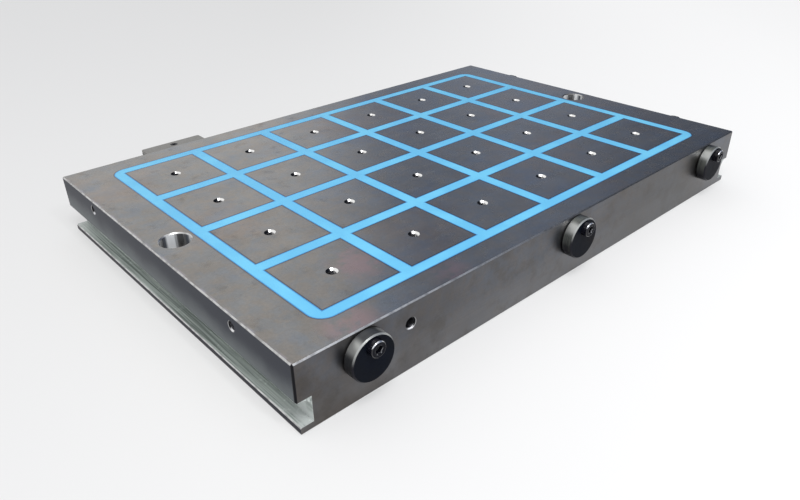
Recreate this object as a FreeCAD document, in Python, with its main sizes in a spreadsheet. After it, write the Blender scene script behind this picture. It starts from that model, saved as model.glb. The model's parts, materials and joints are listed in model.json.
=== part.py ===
"""Electro-permanent magnetic chuck with 24 square poles.

Millimetres. The origin is the centre of the underside, +X runs along the long side towards the end
with the stops, +Y towards the side with the junction box, +Z up through the working face.
"""
import FreeCAD
import Part
import Sketcher
import math
import os
from FreeCAD import Placement, Rotation, Vector

os.makedirs("parts", exist_ok=True)
doc = FreeCAD.newDocument("magnetic_chuck")
sheet = doc.addObject("Spreadsheet::Sheet", "sizes")

# Driving sizes, each written once
SIZES = (
    ("plate_length", 600),
    ("plate_width", 400),
    ("plate_height", 60),
    ("edge_break", 1),
    ("cut_overrun", 2),
    ("pole_columns", 6),
    ("pole_rows", 4),
    ("end_wall", 38.5),
    ("side_wall", 24),
    ("pole_gap", 12),
    ("border_gap", 11),
    ("pocket_round", 14),
    ("base_thickness", 15),
    ("reversible_inset", 10),
    ("reversible_height", 18),
    ("resin_depth", 6),
    ("side_magnet_height", 18),
    ("side_magnet_short", 2),
    ("coil_gap", 6),
    ("coil_round", 8),
    ("jumper_width", 5),
    ("jumper_height", 3),
    ("jumper_bite", 1),
    ("tail_clearance", 0.2),
    ("block_height", 32),
    ("flange_height", 6.5),
    ("flange_inset", 1.5),
    ("groove_depth", 12),
    ("groove_round", 9),
    ("mount_inset", 22),
    ("mount_hole_radius", 7),
    ("mount_head_radius", 13),
    ("mount_head_depth", 16),
    ("large_thread_radius", 4),
    ("large_tap_radius", 3.4),
    ("large_head_radius", 6.5),
    ("large_head_height", 8),
    ("large_key_width", 6),
    ("large_key_depth", 4),
    ("small_thread_radius", 2),
    ("small_tap_radius", 1.65),
    ("small_head_radius", 3.5),
    ("small_head_height", 4),
    ("small_key_width", 3),
    ("small_key_depth", 2),
    ("head_break", 0.6),
    ("pole_thread_radius", 5),
    ("pole_tap_radius", 4.25),
    ("pole_head_radius", 8),
    ("pole_head_height", 6.5),
    ("pole_key_width", 7),
    ("pole_key_depth", 3.5),
    ("thread_clearance", 0.05),
    ("hole_clearance", 0.5),
    ("head_recess", 1),
    ("pole_screw_bite", 11),
    ("drill_allowance", 1),
    ("pole_hole_depth", 13),
    ("pole_mouth_radius", 5),
    ("stop_inset", 58),
    ("end_stop_inset", 74),
    ("end_stop_drop", 11),
    ("end_hole_inset", 75),
    ("stop_drop", 10),
    ("stop_radius", 19),
    ("stop_thickness", 10),
    ("stop_offset", 10.5),
    ("stop_head_depth", 2.5),
    ("stop_head_clearance", 0.25),
    ("stop_edge_break", 1),
    ("running_clearance", 0.06),
    ("axial_clearance", 0.1),
    ("stop_screw_bite", 14),
    ("side_mouth_radius", 4.5),
    ("eye_tap_radius", 4.25),
    ("eye_mouth_radius", 5.25),
    ("eye_depth", 18),
    ("eye_inset", 101),
    ("eye_drop", 18),
    ("box_inset", 124),
    ("box_length", 68),
    ("box_depth", 17),
    ("box_height", 46),
    ("box_drop", 1.5),
    ("box_wall", 3),
    ("box_corner", 1.5),
    ("box_seal", 1),
    ("lid_thickness", 3),
    ("gasket_thickness", 0.8),
    ("pillar_side", 9),
    ("box_screw_inset", 7),
    ("box_screw_bite", 9),
    ("lid_screw_head", 4),
    ("lid_screw_bite", 8),
    ("lid_bridge_height", 14),
    ("lead_radius", 2.5),
    ("lead_bend", 6),
    ("lead_run", 2),
    ("lead_level", 24),
    ("duct_radius", 4),
    ("duct_offset", 8),
    ("inlet_drop", 11.5),
    ("inlet_flange_radius", 7),
    ("inlet_flange_thickness", 3),
    ("inlet_barrel_radius", 6),
    ("inlet_barrel_length", 9),
    ("inlet_bore_radius", 4.5),
    ("inlet_bore_depth", 9),
    ("inlet_spigot_radius", 5),
    ("inlet_spigot_length", 5),
    ("insulator_thickness", 3),
    ("pin_radius", 0.6),
    ("pin_length", 6),
    ("pin_count", 4),
    ("pin_circle_radius", 2.4),
    ("terminal_length", 16),
    ("terminal_depth", 9),
    ("terminal_height", 13),
    ("terminal_screw_radius", 1.5),
    ("terminal_screw_depth", 4),
    ("terminal_screw_pitch", 5),
    ("inlet_lead_radius", 1.5),
    ("inlet_lead_bend", 4),
    ("inlet_lead_run", 8),
    ("inlet_lead_drop", 12),
)

# Sizes that follow from the driving ones
DERIVED = (
    ("pocket_length", "plate_length - 2 * end_wall"),
    ("pocket_width", "plate_width - 2 * side_wall"),
    ("column_pitch", "(pocket_length - 2 * border_gap + pole_gap) / pole_columns"),
    ("row_pitch", "(pocket_width - 2 * border_gap + pole_gap) / pole_rows"),
    ("grid_length", "(pole_columns - 1) * column_pitch"),
    ("grid_width", "(pole_rows - 1) * row_pitch"),
    ("pole_length", "column_pitch - pole_gap"),
    ("pole_width", "row_pitch - pole_gap"),
    ("reversible_length", "pole_length - 2 * reversible_inset"),
    ("reversible_width", "pole_width - 2 * reversible_inset"),
    ("coil_length", "column_pitch - coil_gap"),
    ("coil_width", "row_pitch - coil_gap"),
    ("pole_foot", "base_thickness + reversible_height"),
    ("pole_height", "plate_height - pole_foot"),
    ("potting_top", "plate_height - resin_depth"),
    ("row_magnet_length", "pole_length - 2 * side_magnet_short"),
    ("column_magnet_length", "pole_width - 2 * side_magnet_short"),
    ("side_magnet_foot", "potting_top - side_magnet_height"),
    ("groove_roof", "plate_height - block_height"),
    ("mount_place", "plate_length / 2 - mount_inset"),
    ("pole_screw_seat", "pole_head_height + head_recess"),
    ("pole_pass_radius", "pole_thread_radius + hole_clearance"),
    ("pole_pocket_radius", "pole_head_radius + hole_clearance"),
    ("small_pass_radius", "small_thread_radius + hole_clearance"),
    ("small_pocket_radius", "small_head_radius + hole_clearance"),
    ("pole_screw_grip", "pole_foot - pole_screw_seat"),
    ("stop_distance", "plate_length / 2 - stop_inset"),
    ("end_stop_distance", "plate_width / 2 - end_stop_inset"),
    ("end_hole_distance", "plate_width / 2 - end_hole_inset"),
    ("end_stop_level", "plate_height - end_stop_drop"),
    ("stop_level", "plate_height - stop_drop"),
    ("stop_grip", "stop_thickness - stop_head_depth + 2 * axial_clearance"),
    ("eye_distance", "plate_length / 2 - eye_inset"),
    ("eye_level", "plate_height - eye_drop"),
    ("lead_margin", "(pocket_length - grid_length - coil_length) / 4"),
    ("lead_lane", "pocket_length / 2 - lead_margin"),
    ("lead_cross", "pocket_width / 2 - lead_margin"),
    ("lead_corner", "pocket_round - lead_margin"),
    ("tail_length", "lead_margin - lead_radius - tail_clearance"),
    ("housing_height", "box_height - lid_thickness - gasket_thickness"),
    ("box_distance", "plate_length / 2 - box_inset"),
    ("box_foot", "plate_height - box_drop - box_height"),
    ("box_face", "plate_width / 2 + box_seal"),
    ("box_inner_depth", "box_depth - 2 * box_wall"),
    ("box_centre", "box_face + box_depth / 2"),
    ("duct_place", "-box_distance - duct_offset"),
    ("pillar_place", "box_length / 2 - box_screw_inset"),
    ("inlet_level", "plate_height - box_drop - inlet_drop"),
    ("inlet_face", "-box_distance - box_length / 2"),
    ("terminal_foot", "box_foot + box_wall"),
    ("terminal_place", "duct_place + lead_bend + lead_run + terminal_length / 2"),
)


def fill_sheet():
    """Write every size in column B beside its name, and name the cell after it."""
    rows = [(name, str(number)) for name, number in SIZES]
    rows += [(name, "=" + formula) for name, formula in DERIVED]
    for row, (name, content) in enumerate(rows, start=1):
        sheet.set("A%d" % row, name)
        sheet.set("B%d" % row, content)
        sheet.setAlias("B%d" % row, name)
    doc.recompute()


def size(name):
    """The present value of one size."""
    return float(sheet.get(name))


fill_sheet()
COLUMNS = int(size("pole_columns"))
ROWS = int(size("pole_rows"))


def with_sheet(formula):
    """A formula in size names, written as an expression that reads the sheet."""
    names = {name for name, _ in SIZES + DERIVED}
    word, text = "", ""
    for letter in formula + " ":
        if letter.isalnum() or letter == "_":
            word += letter
            continue
        text += ("sizes." + word if word in names else word) + letter
        word = ""
    return text.strip()


def bind(item, prop, formula):
    """Tie one property of an object to a formula in size names."""
    item.setExpression(prop, with_sheet(formula))


def amount(item, formula):
    """The present value of a formula, as a start for the sketch solver."""
    return float(item.evalExpression(with_sheet(formula)))


def move(item, x="0", y="0", z="0", rotation=None):
    """Place an object by formulas, turned by a fixed rotation."""
    item.Placement = Placement(Vector(), rotation or Rotation())
    bind(item, "Placement.Base.x", x)
    bind(item, "Placement.Base.y", y)
    bind(item, "Placement.Base.z", z)


def new_body(name):
    body = doc.addObject("PartDesign::Body", name)
    body.Label = name
    return body


def origin_plane(body, role):
    return next(item for item in body.Origin.OriginFeatures if item.Role == role)


def new_sketch(body, name, role="XY_Plane", x="0", y="0", z="0"):
    """A sketch on one of the body's own planes, its origin moved by formulas.

    On XY_Plane the sketch looks along -Z, on XZ_Plane along +Y and on YZ_Plane along -X; z is measured
    towards the viewer.
    """
    sketch = body.newObject("Sketcher::SketchObject", name)
    sketch.AttachmentSupport = [(origin_plane(body, role), "")]
    sketch.MapMode = "FlatFace"
    bind(sketch, "AttachmentOffset.Base.x", x)
    bind(sketch, "AttachmentOffset.Base.y", y)
    bind(sketch, "AttachmentOffset.Base.z", z)
    return sketch


def dimension(sketch, kind, references, formula):
    """Add one dimension to a sketch and tie it to a formula."""
    start = amount(sketch, formula)
    index = sketch.addConstraint(Sketcher.Constraint(kind, *references, start))
    label = "dim_%d" % index
    sketch.renameConstraint(index, label)
    bind(sketch, "Constraints." + label, formula)


def add_circle(sketch, radius, x=None, y=None):
    """A circle at the sketch's origin, or at a place given by formulas."""
    centre = Vector(amount(sketch, x or "0"), amount(sketch, y or "0"), 0)
    circle = Part.Circle(centre, Vector(0, 0, 1), amount(sketch, radius))
    index = sketch.addGeometry(circle, False)
    if x is None:
        sketch.addConstraint(Sketcher.Constraint("Coincident", index, 3, -1, 1))
    else:
        dimension(sketch, "DistanceX", (-1, 1, index, 3), x)
        dimension(sketch, "DistanceY", (-1, 1, index, 3), y)
    dimension(sketch, "Radius", (index,), radius)
    return index


def add_rectangle(sketch, width, height):
    """A rectangle centred on the sketch's origin."""
    half_w = amount(sketch, width) / 2
    half_h = amount(sketch, height) / 2
    signs = ((-1, -1), (1, -1), (1, 1), (-1, 1))
    corners = [Vector(side_x * half_w, side_y * half_h) for side_x, side_y in signs]
    lines = [Part.LineSegment(corners[i], corners[(i + 1) % 4]) for i in range(4)]
    first = sketch.addGeometry(lines, False)[0]
    for i in range(4):
        sketch.addConstraint(Sketcher.Constraint("Coincident", first + i, 2, first + (i + 1) % 4, 1))
        flat = "Horizontal" if i % 2 == 0 else "Vertical"
        sketch.addConstraint(Sketcher.Constraint(flat, first + i))
    sketch.addConstraint(Sketcher.Constraint("Symmetric", first, 1, first + 2, 1, -1, 1))
    dimension(sketch, "DistanceX", (first, 1, first, 2), width)
    dimension(sketch, "DistanceY", (first + 1, 1, first + 1, 2), height)


def add_round_rectangle(sketch, width, height, corner):
    """A rectangle with round corners, centred on the sketch's origin."""
    radius = amount(sketch, corner)
    reach_x = amount(sketch, width) / 2 - radius
    reach_y = amount(sketch, height) / 2 - radius
    signs = ((1, -1), (1, 1), (-1, 1), (-1, -1))
    arcs = []
    for i, (side_x, side_y) in enumerate(signs):
        circle = Part.Circle(Vector(side_x * reach_x, side_y * reach_y), Vector(0, 0, 1), radius)
        start = math.radians(-90 + 90 * i)
        arcs.append(Part.ArcOfCircle(circle, start, start + math.pi / 2))
    lines = [Part.LineSegment(arcs[i - 1].EndPoint, arcs[i].StartPoint) for i in range(4)]
    first_arc = sketch.addGeometry(arcs, False)[0]
    first_line = sketch.addGeometry(lines, False)[0]
    for i in range(4):
        before = first_arc + (i - 1) % 4
        sketch.addConstraint(Sketcher.Constraint("Tangent", before, 2, first_line + i, 1))
        sketch.addConstraint(Sketcher.Constraint("Tangent", first_line + i, 2, first_arc + i, 1))
        flat = "Horizontal" if i % 2 == 0 else "Vertical"
        sketch.addConstraint(Sketcher.Constraint(flat, first_line + i))
    for i in range(1, 4):
        sketch.addConstraint(Sketcher.Constraint("Equal", first_arc, first_arc + i))
    sketch.addConstraint(Sketcher.Constraint("Symmetric", first_arc, 3, first_arc + 2, 3, -1, 1))
    dimension(sketch, "Radius", (first_arc,), corner)
    dimension(sketch, "DistanceX", (first_line + 3, 1, first_line + 1, 1), width)
    dimension(sketch, "DistanceY", (first_line, 1, first_line + 2, 1), height)


def add_hexagon(sketch, across_flats):
    """A regular hexagon at the sketch's origin, two corners on its horizontal axis."""
    reach = amount(sketch, across_flats) / math.sqrt(3)
    turns = [math.radians(60 * i) for i in range(6)]
    corners = [Vector(reach * math.cos(turn), reach * math.sin(turn)) for turn in turns]
    lines = [Part.LineSegment(corners[i], corners[(i + 1) % 6]) for i in range(6)]
    first = sketch.addGeometry(lines, False)[0]
    guide = sketch.addGeometry(Part.Circle(Vector(), Vector(0, 0, 1), reach), True)
    sketch.addConstraint(Sketcher.Constraint("Coincident", guide, 3, -1, 1))
    for i in range(6):
        sketch.addConstraint(Sketcher.Constraint("Coincident", first + i, 2, first + (i + 1) % 6, 1))
        sketch.addConstraint(Sketcher.Constraint("PointOnObject", first + i, 1, guide))
    for i in range(1, 6):
        sketch.addConstraint(Sketcher.Constraint("Equal", first, first + i))
    sketch.addConstraint(Sketcher.Constraint("PointOnObject", first, 1, -1))
    dimension(sketch, "Radius", (guide,), across_flats + " / sqrt(3)")


def add_outline(sketch, corners):
    """A closed outline of straight edges through corners given as pairs of formulas."""
    points = [Vector(amount(sketch, x), amount(sketch, y)) for x, y in corners]
    count = len(points)
    lines = [Part.LineSegment(points[i], points[(i + 1) % count]) for i in range(count)]
    first = sketch.addGeometry(lines, False)[0]
    for i, (x, y) in enumerate(corners):
        sketch.addConstraint(Sketcher.Constraint("Coincident", first + i, 2, first + (i + 1) % count, 1))
        dimension(sketch, "DistanceX", (-1, 1, first + i, 1), x)
        dimension(sketch, "DistanceY", (-1, 1, first + i, 1), y)


def extrude(body, kind, name, sketch, length, reverse=False, midplane=False):
    """A pad or a pocket of a sketch, by a length given as a formula."""
    feature = body.newObject("PartDesign::" + kind, name)
    feature.Profile = sketch
    feature.Reversed = reverse
    feature.Midplane = midplane
    bind(feature, "Length", length)
    body.Tip = feature
    return feature


def turn_up(body, name, corners):
    """Revolve a closed outline of radius and height once round the body's Z axis."""
    sketch = new_sketch(body, name + "_profile", "XZ_Plane")
    add_outline(sketch, corners)
    feature = body.newObject("PartDesign::Revolution", name)
    feature.Profile = sketch
    feature.ReferenceAxis = (sketch, ["V_Axis"])
    feature.Angle = 360
    body.Tip = feature
    return feature


def drill(body, name, sketch, radius, depth, mouth=None, mouth_depth=None, reverse=False):
    """A flat-bottomed hole, with a countersunk mouth or, where mouth_depth is given, a counterbore."""
    doc.recompute()
    hole = body.newObject("PartDesign::Hole", name)
    hole.Profile = sketch
    hole.ThreadType = "None"
    hole.DepthType = "Dimension"
    hole.DrillPoint = "Flat"
    hole.Reversed = reverse
    bind(hole, "Diameter", "2 * " + radius)
    bind(hole, "Depth", depth)
    if mouth and mouth_depth:
        hole.HoleCutType = "Counterbore"
        bind(hole, "HoleCutDiameter", "2 * " + mouth)
        bind(hole, "HoleCutDepth", mouth_depth)
    elif mouth:
        hole.HoleCutType = "Countersink"
        hole.HoleCutCountersinkAngle = 90
        bind(hole, "HoleCutDiameter", "2 * " + mouth)
    body.Tip = hole
    return hole


def grid_pattern(body, name, originals, sketch, columns, rows):
    """Repeat features over the grid of the poles, away from its first column and row."""
    pattern = body.newObject("PartDesign::MultiTransform", name)
    pattern.Originals = originals
    steps = []
    for axis, pitch, count in (("H_Axis", "column_pitch", columns), ("V_Axis", "row_pitch", rows)):
        step = body.newObject("PartDesign::LinearPattern", name + "_" + axis[0].lower())
        step.Direction = (sketch, [axis])
        bind(step, "Length", "%s * (%s - 1)" % (pitch, count))
        bind(step, "Occurrences", count)
        steps.append(step)
    pattern.Transformations = steps
    body.Tip = pattern
    return pattern


def row_pattern(body, name, originals, sketch, count):
    """Repeat features along X by the column pitch."""
    pattern = body.newObject("PartDesign::LinearPattern", name)
    pattern.Originals = originals
    pattern.Direction = (sketch, ["H_Axis"])
    bind(pattern, "Length", "column_pitch * (%s - 1)" % count)
    bind(pattern, "Occurrences", count)
    body.Tip = pattern
    return pattern


def copy_of(master, name, x="0", y="0", z="0", rotation=None):
    """One placed copy of a master piece."""
    link = doc.addObject("App::Link", name)
    link.LinkedObject = master
    link.Label = name
    move(link, x, y, z, rotation)
    return link


def group(name, members):
    """Separate solids kept as one sub-part."""
    compound = doc.addObject("Part::Compound", name)
    compound.Links = members
    compound.Label = name
    return compound


def outer_edges(shape, length_test):
    """Names of a shape's straight edges that pass a test on their two end points."""
    names = []
    for number, edge in enumerate(shape.Edges, start=1):
        if len(edge.Vertexes) == 2 and length_test(edge.Vertexes[0].Point, edge.Vertexes[1].Point):
            names.append("Edge%d" % number)
    return names


def rim_edges(shape, level, radius):
    """Names of a shape's round edges of one radius at one height."""
    names = []
    for number, edge in enumerate(shape.Edges, start=1):
        round_edge = isinstance(edge.Curve, Part.Circle) and abs(edge.Curve.Radius - radius) < 1e-6
        if round_edge and abs(edge.Curve.Center.z - level) < 1e-6:
            names.append("Edge%d" % number)
    return names


def break_edges(body, name, base, edges, width):
    feature = body.newObject("PartDesign::Chamfer", name)
    feature.Base = (base, edges)
    bind(feature, "Size", width)
    body.Tip = feature
    return feature


def column_place(column):
    return "%d * column_pitch - grid_length / 2" % column


def row_place(row):
    return "%d * row_pitch - grid_width / 2" % row


# Turns that carry a piece from its own upright frame to a side of the chuck
FACE_FRONT = Rotation(Vector(1, 0, 0), 90)
FACE_BACK = Rotation(Vector(0, 0, 1), 180).multiply(Rotation(Vector(1, 0, 0), 90))
FACE_RIGHT = Rotation(Vector(1, 1, 1), 120)
FACE_LEFT = Rotation(Vector(0, 0, 1), 180).multiply(Rotation(Vector(1, 1, 1), 120))
FACE_DOWN = Rotation(Vector(1, 0, 0), 180)


def make_chuck_body():
    """One steel block: pocket for the magnet system, clamp grooves, mounting and tapped holes."""
    body = new_body("chuck_body")
    outline = new_sketch(body, "plate_outline")
    add_rectangle(outline, "plate_length", "plate_width")
    plate = extrude(body, "Pad", "plate", outline, "plate_height")
    doc.recompute()
    half_x = size("plate_length") / 2 - 1e-6
    half_y = size("plate_width") / 2 - 1e-6
    top = size("plate_height") - 1e-6

    def on_rim(first, second):
        """True on the edges round the working face and the underside and on the four upright corners."""
        level = abs(first.z - second.z) < 1e-6
        upright = abs(first.z - second.z) > top and min(abs(first.x), abs(first.y) + half_x - half_y) > half_x
        return level or upright

    break_edges(body, "rim_break", plate, outer_edges(plate.Shape, on_rim), "edge_break")

    # Undercut groove of the left end with a round inner roof, and the foot set back below it
    groove = new_sketch(body, "groove_profile", "XZ_Plane", x="-plate_length / 2")
    corners = (("-cut_overrun", "groove_roof + edge_break + cut_overrun"), ("edge_break", "groove_roof"),
               ("groove_depth - groove_round", "groove_roof"), ("groove_depth", "groove_roof - groove_round"),
               ("groove_depth", "flange_height"), ("flange_inset + edge_break", "flange_height"),
               ("flange_inset", "flange_height - edge_break"), ("flange_inset", "edge_break"),
               ("flange_inset + edge_break + cut_overrun", "-cut_overrun"), ("-cut_overrun", "-cut_overrun"))
    points = [Vector(amount(groove, x), amount(groove, y)) for x, y in corners]
    radius = amount(groove, "groove_round")
    roof_circle = Part.Circle(points[2] - Vector(0, radius), Vector(0, 0, 1), radius)
    edges = [Part.LineSegment(points[i], points[(i + 1) % len(points)]) for i in range(len(points))]
    roof_arc = 2
    edges[roof_arc] = Part.ArcOfCircle(roof_circle, 0, math.pi / 2)
    groove.addGeometry(edges, False)
    groove.addConstraint(Sketcher.Constraint("Tangent", roof_arc - 1, 2, roof_arc, 2))
    groove.addConstraint(Sketcher.Constraint("Tangent", roof_arc, 1, roof_arc + 1, 1))
    groove.addConstraint(Sketcher.Constraint("Horizontal", roof_arc - 1))
    groove.addConstraint(Sketcher.Constraint("Vertical", roof_arc + 1))
    dimension(groove, "Radius", (roof_arc,), "groove_round")
    for i, (x, y) in enumerate(corners):
        if i in (roof_arc, roof_arc + 1):
            continue
        groove.addConstraint(Sketcher.Constraint("Coincident", (i - 1) % len(corners), 2, i, 1))
        dimension(groove, "DistanceX", (-1, 1, i, 1), x)
        dimension(groove, "DistanceY", (-1, 1, i, 1), y)
    left = extrude(body, "Pocket", "clamp_groove", groove, "plate_width + 2 * cut_overrun", midplane=True)
    doc.recompute()
    both = body.newObject("PartDesign::Mirrored", "clamp_grooves")
    both.Originals = [left]
    both.MirrorPlane = (origin_plane(body, "YZ_Plane"), [""])
    body.Tip = both

    pocket = new_sketch(body, "pocket_outline", z="plate_height")
    add_round_rectangle(pocket, "pocket_length", "pocket_width", "pocket_round")
    extrude(body, "Pocket", "magnet_pocket", pocket, "plate_height - base_thickness")

    for side in (-1, 1):
        place = new_sketch(body, "mount_place_%d" % (side + 2), x="%d * mount_place" % side, z="plate_height")
        add_circle(place, "mount_hole_radius")
        hole = drill(body, "mount_hole_%d" % (side + 2), place, "mount_hole_radius",
                     "plate_height + cut_overrun", "mount_head_radius", "mount_head_depth")
        doc.recompute()
        mouth = rim_edges(hole.Shape, size("plate_height"), size("mount_head_radius"))
        break_edges(body, "mount_mouth_%d" % (side + 2), hole, mouth, "edge_break")

    under = new_sketch(body, "pole_screw_place", x=column_place(0), y=row_place(0))
    add_circle(under, "pole_pass_radius")
    seat = drill(body, "pole_screw_hole", under, "pole_pass_radius", "base_thickness + cut_overrun",
                 "pole_pocket_radius", "pole_screw_seat", reverse=True)
    doc.recompute()
    grid_pattern(body, "pole_screw_holes", [seat], under, "pole_columns", "pole_rows")

    for number in range(3):
        place = new_sketch(body, "stop_place_%d" % number, "XZ_Plane", x="%d * stop_distance" % (number - 1),
                           y="stop_level", z="plate_width / 2")
        add_circle(place, "large_tap_radius")
        drill(body, "stop_hole_%d" % number, place, "large_tap_radius", "stop_screw_bite + drill_allowance")
    for side in (-1, 1):
        place = new_sketch(body, "end_stop_place_%d" % (side + 2), "YZ_Plane", y="end_stop_level",
                           x="%d * end_stop_distance" % side, z="plate_length / 2")
        add_circle(place, "large_tap_radius")
        drill(body, "end_stop_%d" % (side + 2), place, "large_tap_radius",
              "stop_screw_bite + drill_allowance")
        place = new_sketch(body, "end_hole_place_%d" % (side + 2), "YZ_Plane", y="stop_level",
                           x="%d * end_hole_distance" % side, z="-plate_length / 2")
        add_circle(place, "large_tap_radius")
        drill(body, "end_hole_%d" % (side + 2), place, "large_tap_radius",
              "stop_screw_bite + drill_allowance", "side_mouth_radius", reverse=True)

    # Lifting eye holes, one in each long face at opposite ends
    for side in (-1, 1):
        place = new_sketch(body, "eye_place_%d" % (side + 2), "XZ_Plane", x="%d * eye_distance" % side,
                           y="eye_level", z="%d * plate_width / 2" % -side)
        add_circle(place, "eye_tap_radius")
        drill(body, "eye_hole_%d" % (side + 2), place, "eye_tap_radius", "eye_depth", "eye_mouth_radius",
              reverse=side > 0)

    # Lead duct and screw holes behind the junction box
    duct = new_sketch(body, "duct_outline", "XZ_Plane", x="duct_place", y="lead_level",
                      z="-plate_width / 2 - cut_overrun")
    add_circle(duct, "duct_radius")
    extrude(body, "Pocket", "lead_duct", duct, "side_wall + 2 * cut_overrun", reverse=True)
    for number, (side, level) in enumerate(box_screw_places()):
        place = new_sketch(body, "box_screw_place_%d" % number, "XZ_Plane",
                           x="-box_distance + %d * pillar_place" % side, y="box_foot + " + level,
                           z="-plate_width / 2")
        add_circle(place, "small_tap_radius")
        drill(body, "box_screw_hole_%d" % number, place, "small_tap_radius",
              "box_screw_bite + drill_allowance", reverse=True)
    return body


def box_screw_places():
    """Side and height above the housing's foot of the three screws that hold the junction box."""
    low = "box_screw_inset"
    high = "housing_height - box_screw_inset"
    return ((-1, low), (1, low), (1, high))


def make_pole_master():
    """Square steel pole: tapped and countersunk on top, tapped below for its screw."""
    body = new_body("pole_master")
    outline = new_sketch(body, "pole_outline")
    add_rectangle(outline, "pole_length", "pole_width")
    extrude(body, "Pad", "pole_block", outline, "pole_height")
    top = new_sketch(body, "top_hole_place", z="pole_height")
    add_circle(top, "large_tap_radius")
    drill(body, "top_hole", top, "large_tap_radius", "pole_hole_depth", "pole_mouth_radius")
    foot = new_sketch(body, "foot_hole_place")
    add_circle(foot, "pole_tap_radius")
    drill(body, "foot_hole", foot, "pole_tap_radius", "pole_screw_bite + drill_allowance", reverse=True)
    return body


def grid_of_copies(master, name, z, rotation=None):
    """A copy of a piece at every pole place."""
    return [copy_of(master, "%s_row%d_col%d" % (name, row + 1, column + 1), column_place(column),
                    row_place(row), z, rotation) for row in range(ROWS) for column in range(COLUMNS)]


def make_poles():
    return grid_of_copies(make_pole_master(), "pole", "pole_foot")


def make_reversible_magnets():
    """Cast magnets under the poles, each bored for its pole's screw, one group for each row."""
    master = new_body("reversible_magnet_master")
    outline = new_sketch(master, "magnet_outline", x=column_place(0))
    add_rectangle(outline, "reversible_length", "reversible_width")
    add_circle(outline, "pole_pass_radius")
    block = extrude(master, "Pad", "magnet_block", outline, "reversible_height")
    doc.recompute()
    row_pattern(master, "magnet_row", [block], outline, "pole_columns")
    return [copy_of(master, "reversible_magnets_row%d" % (row + 1), "0", row_place(row), "base_thickness")
            for row in range(ROWS)]


def make_coil_rows():
    """Six coils wound round the reversible magnets of a row, joined by their series jumpers."""
    master = new_body("coil_master")
    ring = new_sketch(master, "coil_outline", x=column_place(0))
    add_round_rectangle(ring, "coil_length", "coil_width", "coil_round")
    add_rectangle(ring, "reversible_length", "reversible_width")
    coil = extrude(master, "Pad", "coil", ring, "reversible_height")
    doc.recompute()
    row_pattern(master, "coils", [coil], ring, "pole_columns")
    link = new_sketch(master, "jumper_outline", x=column_place(0) + " + column_pitch / 2",
                      z="lead_level - base_thickness - jumper_height / 2")
    add_rectangle(link, "coil_gap + 2 * jumper_bite", "jumper_width")
    jumper = extrude(master, "Pad", "jumper", link, "jumper_height")
    doc.recompute()
    row_pattern(master, "jumpers", [jumper], link, "(pole_columns - 1)")
    tail = new_sketch(master, "tail_outline", z="lead_level - base_thickness - jumper_height / 2",
                      x=column_place(0) + " - coil_length / 2 - (tail_length - jumper_bite) / 2")
    add_rectangle(tail, "tail_length + jumper_bite", "jumper_width")
    extrude(master, "Pad", "tail", tail, "jumper_height")
    return [copy_of(master, "coil_row%d" % (row + 1), "0", row_place(row), "base_thickness")
            for row in range(ROWS)]


def magnet_field(body, name, columns, rows, size_x, size_y, x, y):
    """Equal upright magnets, spaced as the poles are, over a grid that starts at x and y."""
    outline = new_sketch(body, name + "_outline", x=x, y=y, z="side_magnet_foot")
    add_rectangle(outline, size_x, size_y)
    block = extrude(body, "Pad", name, outline, "side_magnet_height")
    doc.recompute()
    grid_pattern(body, name + "_grid", [block], outline, columns, rows)


def make_side_magnets():
    """Fixed magnets between the poles and between the outer poles and the pocket's walls."""
    first_x = column_place(0)
    first_y = row_place(0)
    border_x = "(pocket_length - border_gap) / 2"
    border_y = "(pocket_width - border_gap) / 2"
    fields = (
        ("magnets_between_columns", "column_gap", "(pole_columns - 1)", "pole_rows", "pole_gap",
         "column_magnet_length", first_x + " + column_pitch / 2", first_y),
        ("magnets_between_rows", "row_gap", "pole_columns", "(pole_rows - 1)",
         "row_magnet_length", "pole_gap", first_x, first_y + " + row_pitch / 2"),
        ("border_magnets", "front_border", "pole_columns", "1", "row_magnet_length", "border_gap",
         first_x, "-" + border_y),
        ("border_magnets", "back_border", "pole_columns", "1", "row_magnet_length", "border_gap",
         first_x, border_y),
        ("border_magnets", "left_border", "1", "pole_rows", "border_gap", "column_magnet_length",
         "-" + border_x, first_y),
        ("border_magnets", "right_border", "1", "pole_rows", "border_gap", "column_magnet_length",
         border_x, first_y),
    )
    bodies = {}
    for node, name, columns, rows, size_x, size_y, x, y in fields:
        if node not in bodies:
            bodies[node] = new_body(node)
        magnet_field(bodies[node], name, columns, rows, size_x, size_y, x, y)
    return list(bodies.values())


def make_top_resin():
    """Blue resin poured flush with the poles' tops."""
    body = new_body("top_resin")
    outline = new_sketch(body, "resin_outline", z="potting_top")
    add_round_rectangle(outline, "pocket_length", "pocket_width", "pocket_round")
    extrude(body, "Pad", "resin", outline, "resin_depth")
    window = new_sketch(body, "pole_window_outline", x=column_place(0), y=row_place(0), z="potting_top")
    add_rectangle(window, "pole_length", "pole_width")
    opening = extrude(body, "Pocket", "pole_window", window, "resin_depth", reverse=True)
    doc.recompute()
    grid_pattern(body, "pole_windows", [opening], window, "pole_columns", "pole_rows")
    return body


def cut_away(name, base, tools):
    """What is left of a base without a set of pieces that stand apart from each other."""
    cut = doc.addObject("Part::Cut", name)
    cut.Label = name
    cut.Base = base
    cut.Tool = group(name + "_tools", tools)
    return cut


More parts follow.
